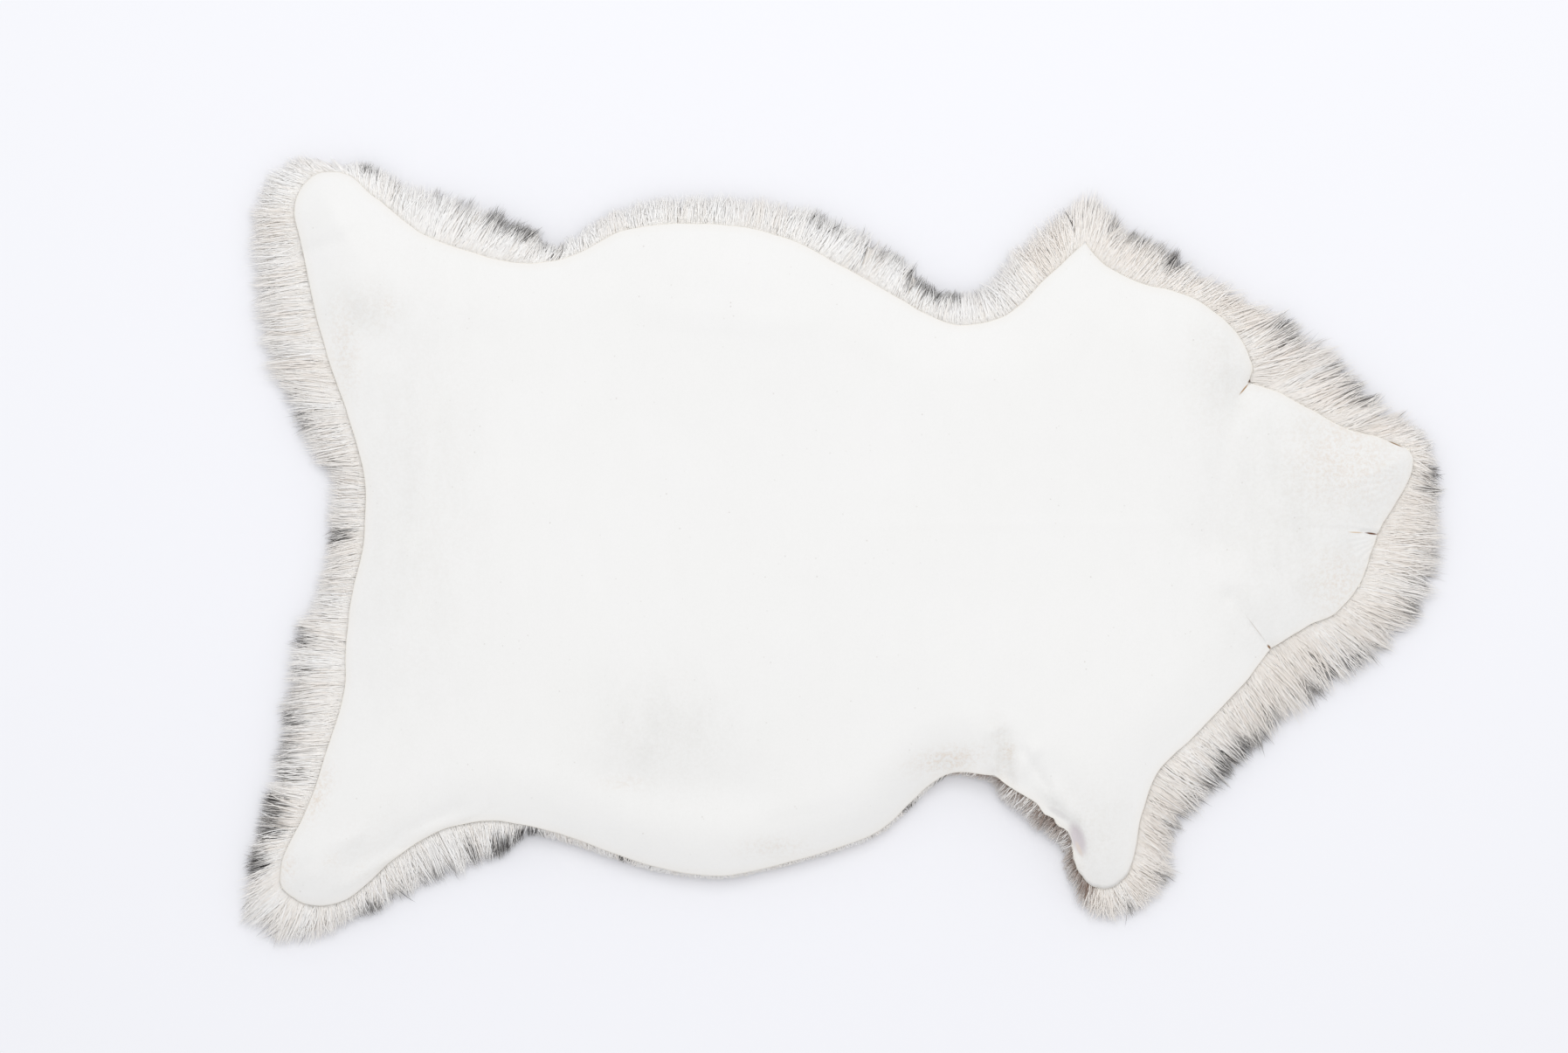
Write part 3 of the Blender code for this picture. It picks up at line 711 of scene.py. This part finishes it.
def makeFleeceBody():
    # a closed form: its top lies under the hide, each point at the lowest height of the hide within
    # one of its own cells; its rim is a profile carried round the cut edge along the wool's own
    # direction; and its bed is the plan grid again, lumpy and over the staples
    step = body["step"]
    grid, under = coarseGrid[::step, ::step], hideUnderside(coarseGrid)[0]
    wide, (rows, columns) = np.pad(under, step, mode="edge"), under.shape
    near = range(2 * step + 1)
    lowest = np.min([wide[i:i + rows, j:j + columns] for i in near for j in near], axis=0)
    top = raised(grid, lowest[::step, ::step] - body["underHide"] * mm)
    loop = gridLoop(*grid.shape)
    rim = grid.ravel()[loop]
    here = edgeAt(alongOfPoints(rim))
    least, most = body["widens"]
    spread = smooth(np.abs(here["wool"]), least * mm, most * mm)
    spread = body["shortWool"] + (1 - body["shortWool"]) * spread
    height = here["height"] + np.minimum(creaseRelief(rim, lie["folds"]), 0)
    size, lump, seed = body["rimLumps"]
    rings = [raised(rim + here["wool"] * share * spread,
                    height * tall + lump * mm * latticeNoise(rim, size * mm, seed + k))
             for k, (share, tall) in enumerate(body["rim"])]
    lumps = sum(share * latticeNoise(grid, size * mm, seed) for size, share, seed in body["lumpSizes"])
    lumps *= body["bedLumps"] * mm / sum(share for _, share, _ in body["lumpSizes"])
    bed = raised(grid, body["bedHeight"] * mm + lumps)
    count, around = grid.size, len(loop)
    loops = [loop, *[2 * count + k * around + np.arange(around) for k in range(len(rings))], count + loop]
    sides = [np.stack([b, np.roll(b, -1), np.roll(a, -1), a], axis=-1) for a, b in zip(loops, loops[1:])]
    points = np.concatenate([top.reshape(-1, 3), bed.reshape(-1, 3), *rings])
    faces = (gridQuads(grid.shape), gridQuads(grid.shape, count)[:, ::-1], *sides)
    piece = newPiece("fleeceBody", points, faces, makeDown())
    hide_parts("fleece")


makeFleeceBody()

# strands of wool, as tapered three-sided tubes; on a strand's own map u holds its darkness, the share
# of its length where that starts and its tone, and v runs from root to tip
strandMap = {
    "strengths": 8, "starts": 8,
    "firstStart": 0.22, "startStep": 0.09,
    "toneStep": 0.07, "toneLimits": (0.08, 0.92),    # from one side of a strand to the next
    "lastRing": 0.97, "aside": 0.012,                # v at the tip's ring, and of the middle side
}
strandFlat = 0.7        # a strand's height as a share of its width


def strandTubes(path, radius, sides=3):
    # corner c of ring k stands at path + radius * (cos * side + flat * sin * up), where side is level
    # and square to the run and up is square to both; the last point of each path is the bare tip
    strands, rings = path.shape[0], path.shape[1] - 1
    run = np.gradient(path, axis=1)[:, :rings]
    run /= np.linalg.norm(run, axis=2, keepdims=True)
    side = np.stack([-run[..., 1], run[..., 0], np.zeros(run.shape[:2])], axis=-1)
    side /= np.linalg.norm(side, axis=2, keepdims=True)
    up = np.cross(run, side)
    turn = (-math.pi / 2 + 2 * math.pi * np.arange(sides) / sides)[:, None]
    around = np.cos(turn) * side[:, :, None] + strandFlat * np.sin(turn) * up[:, :, None]
    corner = path[:, :rings, None] + radius[..., None, None] * around
    each = rings * sides + 1
    points = np.concatenate([corner.reshape(strands, rings * sides, 3), path[:, -1:]], axis=1)
    k, c = np.meshgrid(np.arange(rings - 1) * sides, np.arange(sides), indexing="ij")
    after = (c + 1) % sides
    quad = np.stack([k + c, k + after, k + sides + after, k + sides + c], axis=-1).reshape(-1, 4)
    c, last = np.arange(sides), (rings - 1) * sides
    tri = np.column_stack([last + c, last + (c + 1) % sides, np.full(sides, each - 1)])
    tri = np.vstack([tri, [[2, 1, 0]]])
    first = (np.arange(strands) * each)[:, None, None]
    return points, ((first + quad).reshape(-1, 4), (first + tri).reshape(-1, 3))


def strandPlaces(share, strength, start, tone, sides=3):
    # u = (8 * strength level + start level + tone) / 64, and v = share of the length
    strengths, starts = strandMap["strengths"], strandMap["starts"]
    rings = len(share) - 1
    strengthLevel = np.round(np.clip(strength, 0, 1) * (strengths - 1))
    startLevel = np.round((start - strandMap["firstStart"]) / strandMap["startStep"])
    level = strengthLevel * starts + np.clip(startLevel, 0, starts - 1)
    side = np.arange(sides) - 1
    across = np.clip(tone[:, None] + side * strandMap["toneStep"], *strandMap["toneLimits"])
    u = np.tile((level[:, None] + across) / (strengths * starts), rings)
    u = np.column_stack([u, (level + tone) / (strengths * starts)])
    v = np.array(share[:rings])[:, None] * strandMap["lastRing"] + strandMap["aside"] * (side == 0)
    v = np.append(v.ravel(), 1.0)
    return np.stack([u, np.broadcast_to(v, u.shape)], axis=-1).reshape(-1, 2)


def makeWool(name, darkColour, darkRun, rootDark, tipDarkness):
    # longwool fleece, washed and combed: off-white to oatmeal, soft lustre, painted paler towards its
    # thin tips where light passes through them, with natural charcoal ends or, in the armpit, brown roots
    # darkened as painted shade under the hide's fold; the colour is worked out from the strand's own map
    # alone
    material, tree, shader = newMaterial(name)
    starts, strengths = float(strandMap["starts"]), float(strandMap["strengths"])
    ownMap = addNode(tree, "UVMap", uv_map="OFBake")
    u, v = addNode(tree, "SeparateXYZ", {0: ownMap}).node.outputs[:2]
    scaled = addNode(tree, "Math", {0: u, 1: starts * strengths}, operation="MULTIPLY")
    tone = addNode(tree, "Math", {0: scaled}, operation="FRACT")
    level = addNode(tree, "Math", {0: scaled}, operation="FLOOR")
    eighth = addNode(tree, "Math", {0: level, 1: starts}, operation="DIVIDE")
    strengthLevel = addNode(tree, "Math", {0: eighth}, operation="FLOOR")
    strength = addNode(tree, "Math", {0: strengthLevel, 1: strengths - 1}, operation="DIVIDE")
    startShare = addNode(tree, "Math", {0: eighth}, operation="FRACT")
    start = addNode(tree, "Math", {0: startShare, 1: starts * strandMap["startStep"],
                                   2: strandMap["firstStart"]}, operation="MULTIPLY_ADD")
    stop = addNode(tree, "Math", {0: start, 1: darkRun}, operation="ADD")
    tipward = addNode(tree, "MapRange", {"Value": v, "From Min": start, "From Max": stop,
                                         "To Min": rootDark, "To Max": tipDarkness},
                      interpolation_type="SMOOTHSTEP")
    # each range: where on the strand it starts and ends, and its strength there
    thinTip, rootShare, tipLightShare = [
        addNode(tree, "MapRange", {"Value": v, "From Min": begin, "From Max": end, "To Min": first,
                                   "To Max": last})
        for begin, end, first, last in (
            (0.88, 1.0, 1.0, 0.65), (0.12, 0.5, 0.45, 0.0), (0.45, 0.95, 0.0, 0.5))]
    tipDark = addNode(tree, "Math", {0: tipward, 1: thinTip}, operation="MULTIPLY")
    darkShare = addNode(tree, "Math", {0: strength, 1: tipDark}, operation="MULTIPLY")
    colour = addNode(tree, "ValToRGB", {"Fac": tone})
    stops = ((0.08, "f1e9e0"), (0.30, "f7f1ea"), (0.52, "faf6f1"), (0.74, "fbf9f6"), (0.92, "fefdfb"))
    elements = colour.node.color_ramp.elements
    while len(elements) < len(stops):
        elements.new(0.5)
    for element, (position, stopColour) in zip(elements, stops):
        element.position, element.color = position, linear(stopColour)
    # cream at the roots, painted light towards the thin tips, then the dark ends, or for the armpit the
    # brown roots with their painted shade
    for share, layer in ((rootShare, "faf6f0"), (tipLightShare, "fffdfa"), (darkShare, darkColour)):
        colour = addNode(tree, "Mix", {0: share, 6: colour, 7: layer}, data_type="RGBA")
    tree.links.new(colour, shader.inputs["Base Color"])
    shader.inputs["Roughness"].default_value = 0.72
    shader.inputs["Subsurface Weight"].default_value = 0.22       # light passes from fibre to fibre
    shader.inputs["Subsurface Radius"].default_value = (1.0, 1.0, 1.0)
    shader.inputs["Subsurface Scale"].default_value = 0.5 * mm
    shader.inputs["Sheen Weight"].default_value = 0.15
    shader.inputs["Specular IOR Level"].default_value = 0.3
    return material


wool = makeWool("combed_longwool", "353130", 0.32, 0.0, 1.0)
# brown wool under the armpit's fold, darkest at the roots as painted shade there
brownWoolPaintedShade = makeWool("combed_longwool_brown_roots_painted_shade", "80695b", 0.7, 1.0, 0.3)

# the locks that show round the hide
fringe = {
    "strands": 28400,
    "perLock": 12,
    "firstSeed": 11,                             # each stretch has the next one
    "shares": (0.0, 0.30, 0.58, 0.82, 1.0),      # rings along a strand, and its tip
    "radius": (0.36, 0.47, 0.40, 0.24),          # at each ring; real fibres are 0.04, drawn coarse
    "radiusSpread": (0.75, 1.15),
    "rootSpread": 5.4, "rootLimit": 12,          # along the edge, from the lock's middle
    "inset": (2.0, 11.0),                        # roots under the hide
    "lockReach": (0.90, 1.08),
    "strandReach": (0.96, 0.06, 0.75, 1.12),     # of its lock's: mean, spread, least and most
    "wisps": 0.09, "wispReach": (1.04, 1.15),    # share of locks that stand out, and how far they reach
    "lowLocks": 0.14, "lowRise": (0.15, 0.8),    # share of locks that grow low on the side, and where
    "highRise": (0.92, 0.98),                    # where the others grow
    "ownRise": 0.025, "riseLimits": (0.05, 0.98),
    "underEdge": 0.7,                            # of the highest roots below the hide's wool side
    "bend": 0.08, "ownBend": 0.03,               # of a lock's middle, and of each strand's
    "hook": 2.2, "ownHook": 0.4,                 # of a lock's tip in mm, and each strand's share
    "wispHook": 0.5,                             # share by which a wisp's is larger
    "fullHook": 30,                              # wool as long as this has the whole hook
    "ownGather": 0.12,                           # how far strands differ in being drawn to the tip
    "tipHeight": (0.5, 9.0),
    "tipRise": 0.7, "ownTip": 0.16,              # of a tip's height: share of the root's, and its own
    "droop": 1.9,                                # power by which a strand sinks
    "loft": 1.8, "loftSpread": (0.5, 0.3), "loftFrom": 0.2,
    "aboveFloor": 0.3, "tipRadius": 0.1,
    "crimp": 0.35,
    "countAt": 0.55, "countLength": 90.0,        # locks are shared out along this share of the reach
    "countSteps": 2000,                          # in which a stretch is measured for that
    "waveSize": 30.0,                            # of the swing that neighbouring locks share
    "waveApart": 0.5,                            # metres of it from the lowest locks to the highest
    "yawLimit": 1.8,                             # times its swing, the most that a lock turns alone
    "toneWave": (7, 0.24),                       # of the tone: size and range
    "lockTone": 0.10, "ownTone": 0.11,           # how far locks differ in tone, and strands
    "toneLimits": (0.09, 0.91),
    "strayWave": 12,                             # size of the places with more stray dark strands
    "strayFrom": 0.80,                           # where a stray dark tip starts
    "darkLeast": 0.3,                            # the nearest to the root that a tuft's dark starts
    "darkShift": (-0.05, 0.11),                  # of that start, for each strand: mean and spread
    # the next start is pulled towards the root where the brown wool also carries painted shade
    "brownShadeShift": 0.5,                           # of that start, towards the root, for brown roots
    "darkShades": (0.6, 1.0),
    "tuftTint": 0.32,                            # of the pale strands inside a dark tuft
}
# stretches of the fringe: piece, from, to, swing shared by neighbours, swing of each lock alone, how
# far strands are drawn to their lock's tip, share of stray dark strands, tone (0 oatmeal, 1 white),
# material
stretches = (
    ("woolUpper", "upper leg side", "upper foreleg inside", 7, 8, 0.66, 0.03, 0.74, wool),
    ("woolNeck", "upper foreleg inside", "jaw", 7, 6, 0.76, 0.10, 0.28, wool),
    ("woolForeleg", "jaw", "lower toe heel", 8, 7, 0.76, 0.10, 0.28, wool),
    # the armpit's strands carry the brown roots and their painted shade
    ("woolArmpit", "lower toe heel", "lower armpit rear", 9, 12, 0.45, 0.7, 0.45, brownWoolPaintedShade),
    ("woolBelly", "lower armpit rear", "lower leg corner", 7, 7, 0.64, 0.06, 0.62, wool),
    ("woolRump", "lower leg corner", "upper leg side", 5, 4, 0.48, 0.015, 0.52, wool),
)
# tufts with dark wool, three to a line, from the upper hind leg clockwise: x, y, half width, share of
# dark strands, depth along the strands
darkTufts = (
    (-418, 335, 7, 0.5, 9), (-394, 324, 7, 0.2, 9), (-359, 311, 5, 0.5, 9),
    (-335, 304, 9, 0.6, 9), (-303, 290, 15, 0.95, 16), (-285, 281, 9, 0.85, 12),
    (-268, 273, 9, 0.45, 9), (-254, 267, 8, 0.15, 8), (-18, 286, 14, 0.25, 9),
    (17, 280, 5, 0.45, 9), (18, 262, 5, 0.4, 8), (33, 260, 7, 0.35, 9),
    (46, 257, 8, 0.5, 9), (62, 238, 9, 0.85, 10), (78, 228, 11, 0.9, 11),
    (96, 223, 9, 0.7, 9), (114, 227, 8, 0.3, 8), (188, 268, 3, 0.5, 9),
    (205, 287, 3, 0.3, 5), (237, 283, 3, 0.5, 7), (261, 275, 9, 0.9, 10),
    (281, 266, 8, 0.6, 11), (292, 255, 8, 1.0, 14), (372, 188, 8, 0.3, 20),
    (388, 190, 13, 0.6, 24), (416, 184, 6, 0.45, 10), (431, 156, 7, 0.6, 13),
    (450, 156, 5, 0.4, 8), (445, 140, 6, 1.0, 11), (458, 129, 5, 0.6, 12),
    (522, 67, 7, 1.0, 10), (515, 56, 6, 0.5, 9), (520, -1, 7, 0.5, 10),
    (519, -22, 6, 0.6, 10), (503, -30, 6, 0.8, 13), (496, -50, 7, 0.75, 12),
    (483, -61, 8, 0.35, 10), (467, -89, 7, 0.4, 10), (448, -93, 11, 0.8, 20),
    (424, -105, 8, 0.9, 26), (415, -126, 8, 0.8, 18), (376, -147, 6, 0.65, 15),
    (368, -168, 8, 0.9, 14), (352, -175, 12, 0.85, 19), (334, -190, 8, 0.85, 18),
    (328, -207, 8, 0.9, 16), (306, -228, 12, 0.35, 12), (292, -243, 9, 0.38, 12),
    (281, -289, 6, 0.55, 9), (252, -317, 4, 0.5, 7), (93, -198, 9, 0.6, 6),
    (57, -228, 5, 0.7, 6), (-195, -270, 5, 0.5, 6), (-281, -248, 11, 0.8, 12),
    (-302, -260, 9, 0.9, 15), (-311, -274, 6, 0.5, 10), (-328, -267, 4, 0.7, 16),
    (-355, -288, 14, 0.75, 9), (-369, -294, 6, 0.4, 8), (-392, -307, 10, 0.7, 9),
    (-416, -314, 7, 0.6, 9), (-424, -322, 5, 0.5, 9), (-509, -343, 9, 0.3, 6),
    (-523, -312, 16, 0.15, 6), (-516, -275, 13, 0.7, 15), (-504, -248, 17, 0.72, 24),
    (-500, -226, 9, 0.7, 18), (-486, -198, 8, 0.85, 20), (-491, -174, 13, 0.35, 15),
    (-483, -149, 6, 0.7, 18), (-489, -130, 13, 0.35, 13), (-474, -110, 5, 0.6, 18),
    (-480, -78, 8, 0.8, 16), (-443, 12, 7, 0.45, 20), (-444, 78, 7, 0.4, 10),
    (-477, 113, 9, 0.5, 10), (-495, 133, 5, 0.9, 8),
)
tuftAcross = 20.0              # how far a strand's tip may lie from a tuft's middle, along the strand
tuftBorder = (0.6, 1.4)        # of its half width, between which a tuft fades
tuftLeast = 0.6                # of its depth, the least that its dark goes back from a tip


def fringeMeasure(start, stop):
    # distances along the edge, and the length so far of the fringe's middle line, weighted by how
    # long the wool is there
    along = np.linspace(start, stop, fringe["countSteps"])
    here = edgeAt(along)
    at = fringe["countAt"]
    weight = at + np.abs(here["wool"]) / (fringe["countLength"] * mm)
    step = np.abs(np.diff(here["place"] + at * here["wool"])) * (weight[1:] + weight[:-1]) / 2
    return along, fromZero(step)


def tuftDarkness(tip, ending):
    # for strands with these tips and end directions: a strand that passes a tuft's middle aside by a
    # gives share * (1 - smooth(a / half width)); the strongest tuft wins, and its dark goes back
    # from the tip to half its depth behind its middle
    best, back = np.zeros(tip.shape), np.zeros(tip.shape)
    for x, y, halfWidth, share, depth in darkTufts:
        to = (tip - inFrame(x, y)) * ending.conj()
        fade = 1 - smooth(np.abs(to.imag) / (halfWidth * mm), *tuftBorder)
        here = share * fade * (np.abs(to.real) < tuftAcross * mm)
        back = np.where(here > best, np.maximum(to.real + depth * mm / 2, tuftLeast * depth * mm), back)
        best = np.maximum(best, here)
    return best, back


def fringeLocks(name, firstPlace, lastPlace, sharedYaw, ownYaw, gather, stray, baseTone, material, seed):
    # Each lock has a root on the cut edge, a tip at the wool's reach turned by its yaw, and strands
    # whose roots spread along the edge. A strand is a quadratic Bezier curve in plan, drawn towards
    # its lock's tip by gather * t^2 and sideways by hook * t^3, and its height is
    # rise * (1 - t^droop) down to its tip's height, lowered where the hide above it has a trough.
    draw = np.random.default_rng(seed)
    start, stop = alongOf(firstPlace), alongOf(lastPlace)
    along, measure = fringeMeasure(start, stop + edgeLength * (stop <= start))
    count = int(fringe["strands"] * measure[-1] / fringeMeasure(0, edgeLength)[1][-1])
    locks = count // fringe["perLock"]
    lockAlong = np.interp(np.sort(draw.uniform(0, measure[-1], locks)), measure, along)
    lockRise = np.where(draw.uniform(0, 1, locks) < fringe["lowLocks"],
                        draw.uniform(*fringe["lowRise"], locks), draw.uniform(*fringe["highRise"], locks))
    wave = latticeNoise(lockAlong + 1j * fringe["waveApart"] * lockRise, fringe["waveSize"] * mm, seed)
    most = fringe["yawLimit"]
    lockYaw = np.radians(sharedYaw * wave + ownYaw * np.clip(draw.normal(0, 1, locks), -most, most))
    wisp = draw.uniform(0, 1, locks) < fringe["wisps"]
    lockReach = np.where(wisp, draw.uniform(*fringe["wispReach"], locks),
                         draw.uniform(*fringe["lockReach"], locks))
    lockBend = draw.normal(0, fringe["bend"], locks)
    lockHook = draw.normal(0, fringe["hook"] * mm, locks) * (1 + fringe["wispHook"] * wisp)
    size, swing = fringe["toneWave"]
    lockTone = (baseTone + swing * latticeNoise(lockAlong, size * mm, seed + 1)
                + draw.normal(0, fringe["lockTone"], locks))
    lockStray = stray * (1 + latticeNoise(lockAlong, fringe["strayWave"] * mm, seed + 2))

    lock = np.repeat(np.arange(locks), fringe["perLock"])
    n = len(lock)
    limit = fringe["rootLimit"] * mm
    offset = np.clip(draw.normal(0, fringe["rootSpread"] * mm, n), -limit, limit)
    own, base = edgeAt(lockAlong[lock] + offset), edgeAt(lockAlong[lock])
    length = np.abs(own["wool"])
    out = own["wool"] / length
    root = own["place"] - out * (draw.uniform(*fringe["inset"], n) * mm)
    mean, spread, least, most = fringe["strandReach"]
    reach = lockReach[lock] * np.clip(draw.normal(mean, spread, n), least, most)
    turned = reach * np.exp(1j * lockYaw[lock])
    free, tip = own["place"] + turned * own["wool"], base["place"] + turned * base["wool"]
    bend = (lockBend[lock] + draw.normal(0, fringe["ownBend"], n)) * length
    control = (root + free) / 2 + 1j * out * bend
    t = np.array(fringe["shares"])
    strand = (1 - t) ** 2 * root[:, None] + 2 * t * (1 - t) * control[:, None] + t**2 * free[:, None]
    drawn = (gather + draw.normal(0, fringe["ownGather"], n))[:, None] * t**2
    crimp = draw.normal(0, fringe["crimp"] * mm, n)[:, None] * np.sin(
        2 * math.pi * t + draw.uniform(0, 2 * math.pi, n)[:, None])
    hook = lockHook[lock] + draw.normal(0, fringe["ownHook"] * fringe["hook"] * mm, n)
    hook *= np.minimum(length / (fringe["fullHook"] * mm), 1)
    aside = crimp * (t > 0) + hook[:, None] * t**3
    strand += drawn * (tip - free)[:, None] + 1j * aside * out[:, None]

    rise = np.clip(lockRise[lock] + draw.normal(0, fringe["ownRise"], n), *fringe["riseLimits"])
    dip = np.minimum(creaseRelief(root, lie["folds"]), creaseRelief(own["place"], lie["folds"]))
    rootZ = rise * (own["height"] + np.minimum(dip, 0) - fringe["underEdge"] * mm)
    tipRise = np.clip(fringe["tipRise"] * rise + draw.normal(0, fringe["ownTip"], n), 0, 1)
    lowest, highest = fringe["tipHeight"]
    tipZ = (lowest + (highest - lowest) * tipRise) * mm
    z = (rootZ - tipZ)[:, None] * (1 - t ** fringe["droop"]) + tipZ[:, None]
    loft = fringe["loft"] * mm * draw.normal(*fringe["loftSpread"], n)
    z += loft[:, None] * np.sin(math.pi * t) * (t > fringe["loftFrom"])
    radius = np.array(fringe["radius"]) * draw.uniform(*fringe["radiusSpread"], n)[:, None] * mm
    floor = np.column_stack([radius, np.full(n, fringe["tipRadius"] * mm)]) + fringe["aboveFloor"] * mm
    z = np.maximum(z, floor)

    tone = np.clip(lockTone[lock] + draw.normal(0, fringe["ownTone"], n), *fringe["toneLimits"])
    ending = strand[:, -1] - strand[:, -2]
    tuft, back = tuftDarkness(strand[:, -1], ending / np.abs(ending))
    dark = draw.uniform(0, 1, n) < np.maximum(tuft, lockStray[lock])
    strength = np.where(dark, draw.uniform(*fringe["darkShades"], n), fringe["tuftTint"] * tuft)
    tuftFrom = np.maximum(1 - back / (reach * length), fringe["darkLeast"])
    darkFrom = np.where(tuft > 0, tuftFrom, fringe["strayFrom"])
    darkFrom += draw.normal(*fringe["darkShift"], n) - (material is brownWoolPaintedShade) * fringe["brownShadeShift"]
    points, faces = strandTubes(raised(strand, z), radius)
    newPiece(name, points, faces, material, rounded=False,
             placed=strandPlaces(fringe["shares"], strength, darkFrom, tone))


for k, row in enumerate(stretches):
    fringeLocks(*row, seed=fringe["firstSeed"] + k)

# the staples of the pile underneath, pressed flat by the rug's weight
staples = {
    "count": 3500, "tried": 2,                   # and how many roots are drawn for each one kept
    "length": (28, 46),
    "radius": (2.2, 3.4),
    "taper": (0.75, 1.0, 0.95, 0.72, 0.40),      # of the radius at each ring
    "shares": (0.0, 0.22, 0.45, 0.68, 0.88, 1.0),
    "rootHeight": (7.5, 10.0),
    "aboveFloor": 0.3, "tipRadius": 0.3,
    "curl": 0.9,                                 # radians turned from root to tip
    "swirlSize": 120.0, "swirlFine": 0.3,        # how far the pile keeps one direction, and a finer share
    "fineTurn": 0.7, "ownTurn": 0.35,            # radians, of the finer swirl and of each staple
    "edgeGap": 14.0,                             # from the cut edge to the nearest root
    "tone": (0.5, 0.2), "toneLimits": (0.09, 0.91),    # mean and spread
    "patchSize": 60, "patchFull": 0.7,           # of the darker patches, and the noise where one is full
    "patchDark": 0.35, "patchSpread": (0.2, 1),  # strength of their dark, and how staples share it
    "darkFrom": 0.45,                            # share of a staple's length where it starts
}


def pileStaples(name, seed):
    # roots are drawn over the cells of the plan by area; from its root each staple runs level along
    # an arc, its bearing growing by curl * share, while it sinks from the bed to lie on the floor; it
    # is no longer than its root's distance from the cut edge
    draw = np.random.default_rng(seed)
    across, along = coarseGrid[1:, :-1] - coarseGrid[:-1, :-1], coarseGrid[:-1, 1:] - coarseGrid[:-1, :-1]
    area = np.abs((across.conj() * along).imag).ravel()
    cell = draw.choice(len(area), staples["tried"] * staples["count"], p=area / area.sum())
    i, j = np.unravel_index(cell, across.shape)
    place = coarseGrid[i, j] + across[i, j] * draw.uniform(0, 1, len(i))
    place += along[i, j] * draw.uniform(0, 1, len(i))
    away = nearestEdge(place)[0]
    kept = np.flatnonzero(away > staples["edgeGap"] * mm)[:staples["count"]]
    place, away, n = place[kept], away[kept], len(kept)
    size = staples["swirlSize"] * mm
    bearing = (math.pi * latticeNoise(place, size, seed)
               + staples["fineTurn"] * latticeNoise(place, staples["swirlFine"] * size, seed + 1)
               + draw.normal(0, staples["ownTurn"], n))
    curl = draw.normal(0, staples["curl"], n)
    length = np.minimum(draw.uniform(*staples["length"], n) * mm, away)
    t = np.array(staples["shares"])
    turned = bearing[:, None] + curl[:, None] * (t[:-1] + t[1:]) / 2
    stride = length[:, None] * np.diff(t) * np.exp(1j * turned)
    strand = np.cumsum(np.column_stack([place, stride]), 1)
    radius = draw.uniform(*staples["radius"], n)[:, None] * np.array(staples["taper"]) * mm
    low = np.column_stack([radius, np.full(n, staples["tipRadius"] * mm)]) + staples["aboveFloor"] * mm
    root = draw.uniform(*staples["rootHeight"], n)[:, None] * mm
    tone = np.clip(draw.normal(*staples["tone"], n), *staples["toneLimits"])
    patch = smooth(latticeNoise(place, staples["patchSize"] * mm, seed + 2), 0.0, staples["patchFull"])
    strength = staples["patchDark"] * patch * draw.uniform(*staples["patchSpread"], n)
    points, faces = strandTubes(raised(strand, low + (root - low) * (1 - t) ** 2), radius)
    darkFrom = np.full(n, staples["darkFrom"])
    newPiece(name, points, faces, wool,
             placed=strandPlaces(staples["shares"], strength, darkFrom, tone))


pileStaples("woolPile", 31)

# floor, light and camera
studio = {
    "floorColour": "f6f6f9",
    "floorHalf": 7.0,
    "worldStrength": 0.70,
    "keyPlace": (0.1, 1.15, 3.6), "keySize": 3.0, "keyPower": 60.0,
    "cameraHeight": 4.0,
    "frameMiddle": (-53, 20),       # of the picture, in the tables' frame
    "pictureWidth": 1795 * 0.768,   # 1795 pixels at 0.768 mm
    "sharpHeight": 30,              # the level that is shown at that scale
}


def makeStudio():
    # a wide matt floor, an even pale room, one large softbox from the upper side, and a camera
    # straight above: lens = sensor * (camera's height - sharp height) / width of the picture
    material, _, shader = newMaterial("matt_paper_backdrop")
    shader.inputs["Base Color"].default_value = linear(studio["floorColour"])
    shader.inputs["Roughness"].default_value = 1.0
    shader.inputs["Specular IOR Level"].default_value = 0.0
    half = studio["floorHalf"]
    mesh = bpy.data.meshes.new("floor")
    mesh.from_pydata([(-half, -half, 0), (half, -half, 0), (half, half, 0), (-half, half, 0)], [],
                     [(0, 1, 2, 3)])
    mesh.materials.append(material)
    floor = newObject("floor", mesh)

    world = bpy.data.worlds.new("soft white room")
    world.use_nodes = True
    sky = world.node_tree.nodes["Background"]
    sky.inputs["Color"].default_value = linear("fbfcff")
    sky.inputs["Strength"].default_value = studio["worldStrength"]
    bpy.context.scene.world = world

    light = bpy.data.lights.new("softbox", "AREA")
    light.shape, light.size, light.energy = "SQUARE", studio["keySize"], studio["keyPower"]
    key = newObject("softbox", light)
    key.location = studio["keyPlace"]
    key.rotation_euler = (-math.atan2(studio["keyPlace"][1], studio["keyPlace"][2]), 0, 0)

    height, middle = studio["cameraHeight"], inFrame(*studio["frameMiddle"])
    lens = bpy.data.cameras.new("camera")
    lens.sensor_width = 36
    lens.lens = lens.sensor_width * (height - studio["sharpHeight"] * mm) / (studio["pictureWidth"] * mm)
    camera = newObject("camera", lens)
    camera.location = (middle.real, middle.imag, height)
    bpy.context.scene.camera = camera
    bpy.context.scene.view_settings.view_transform = "Standard"
    print("studio: floor, softbox and camera")


makeStudio()
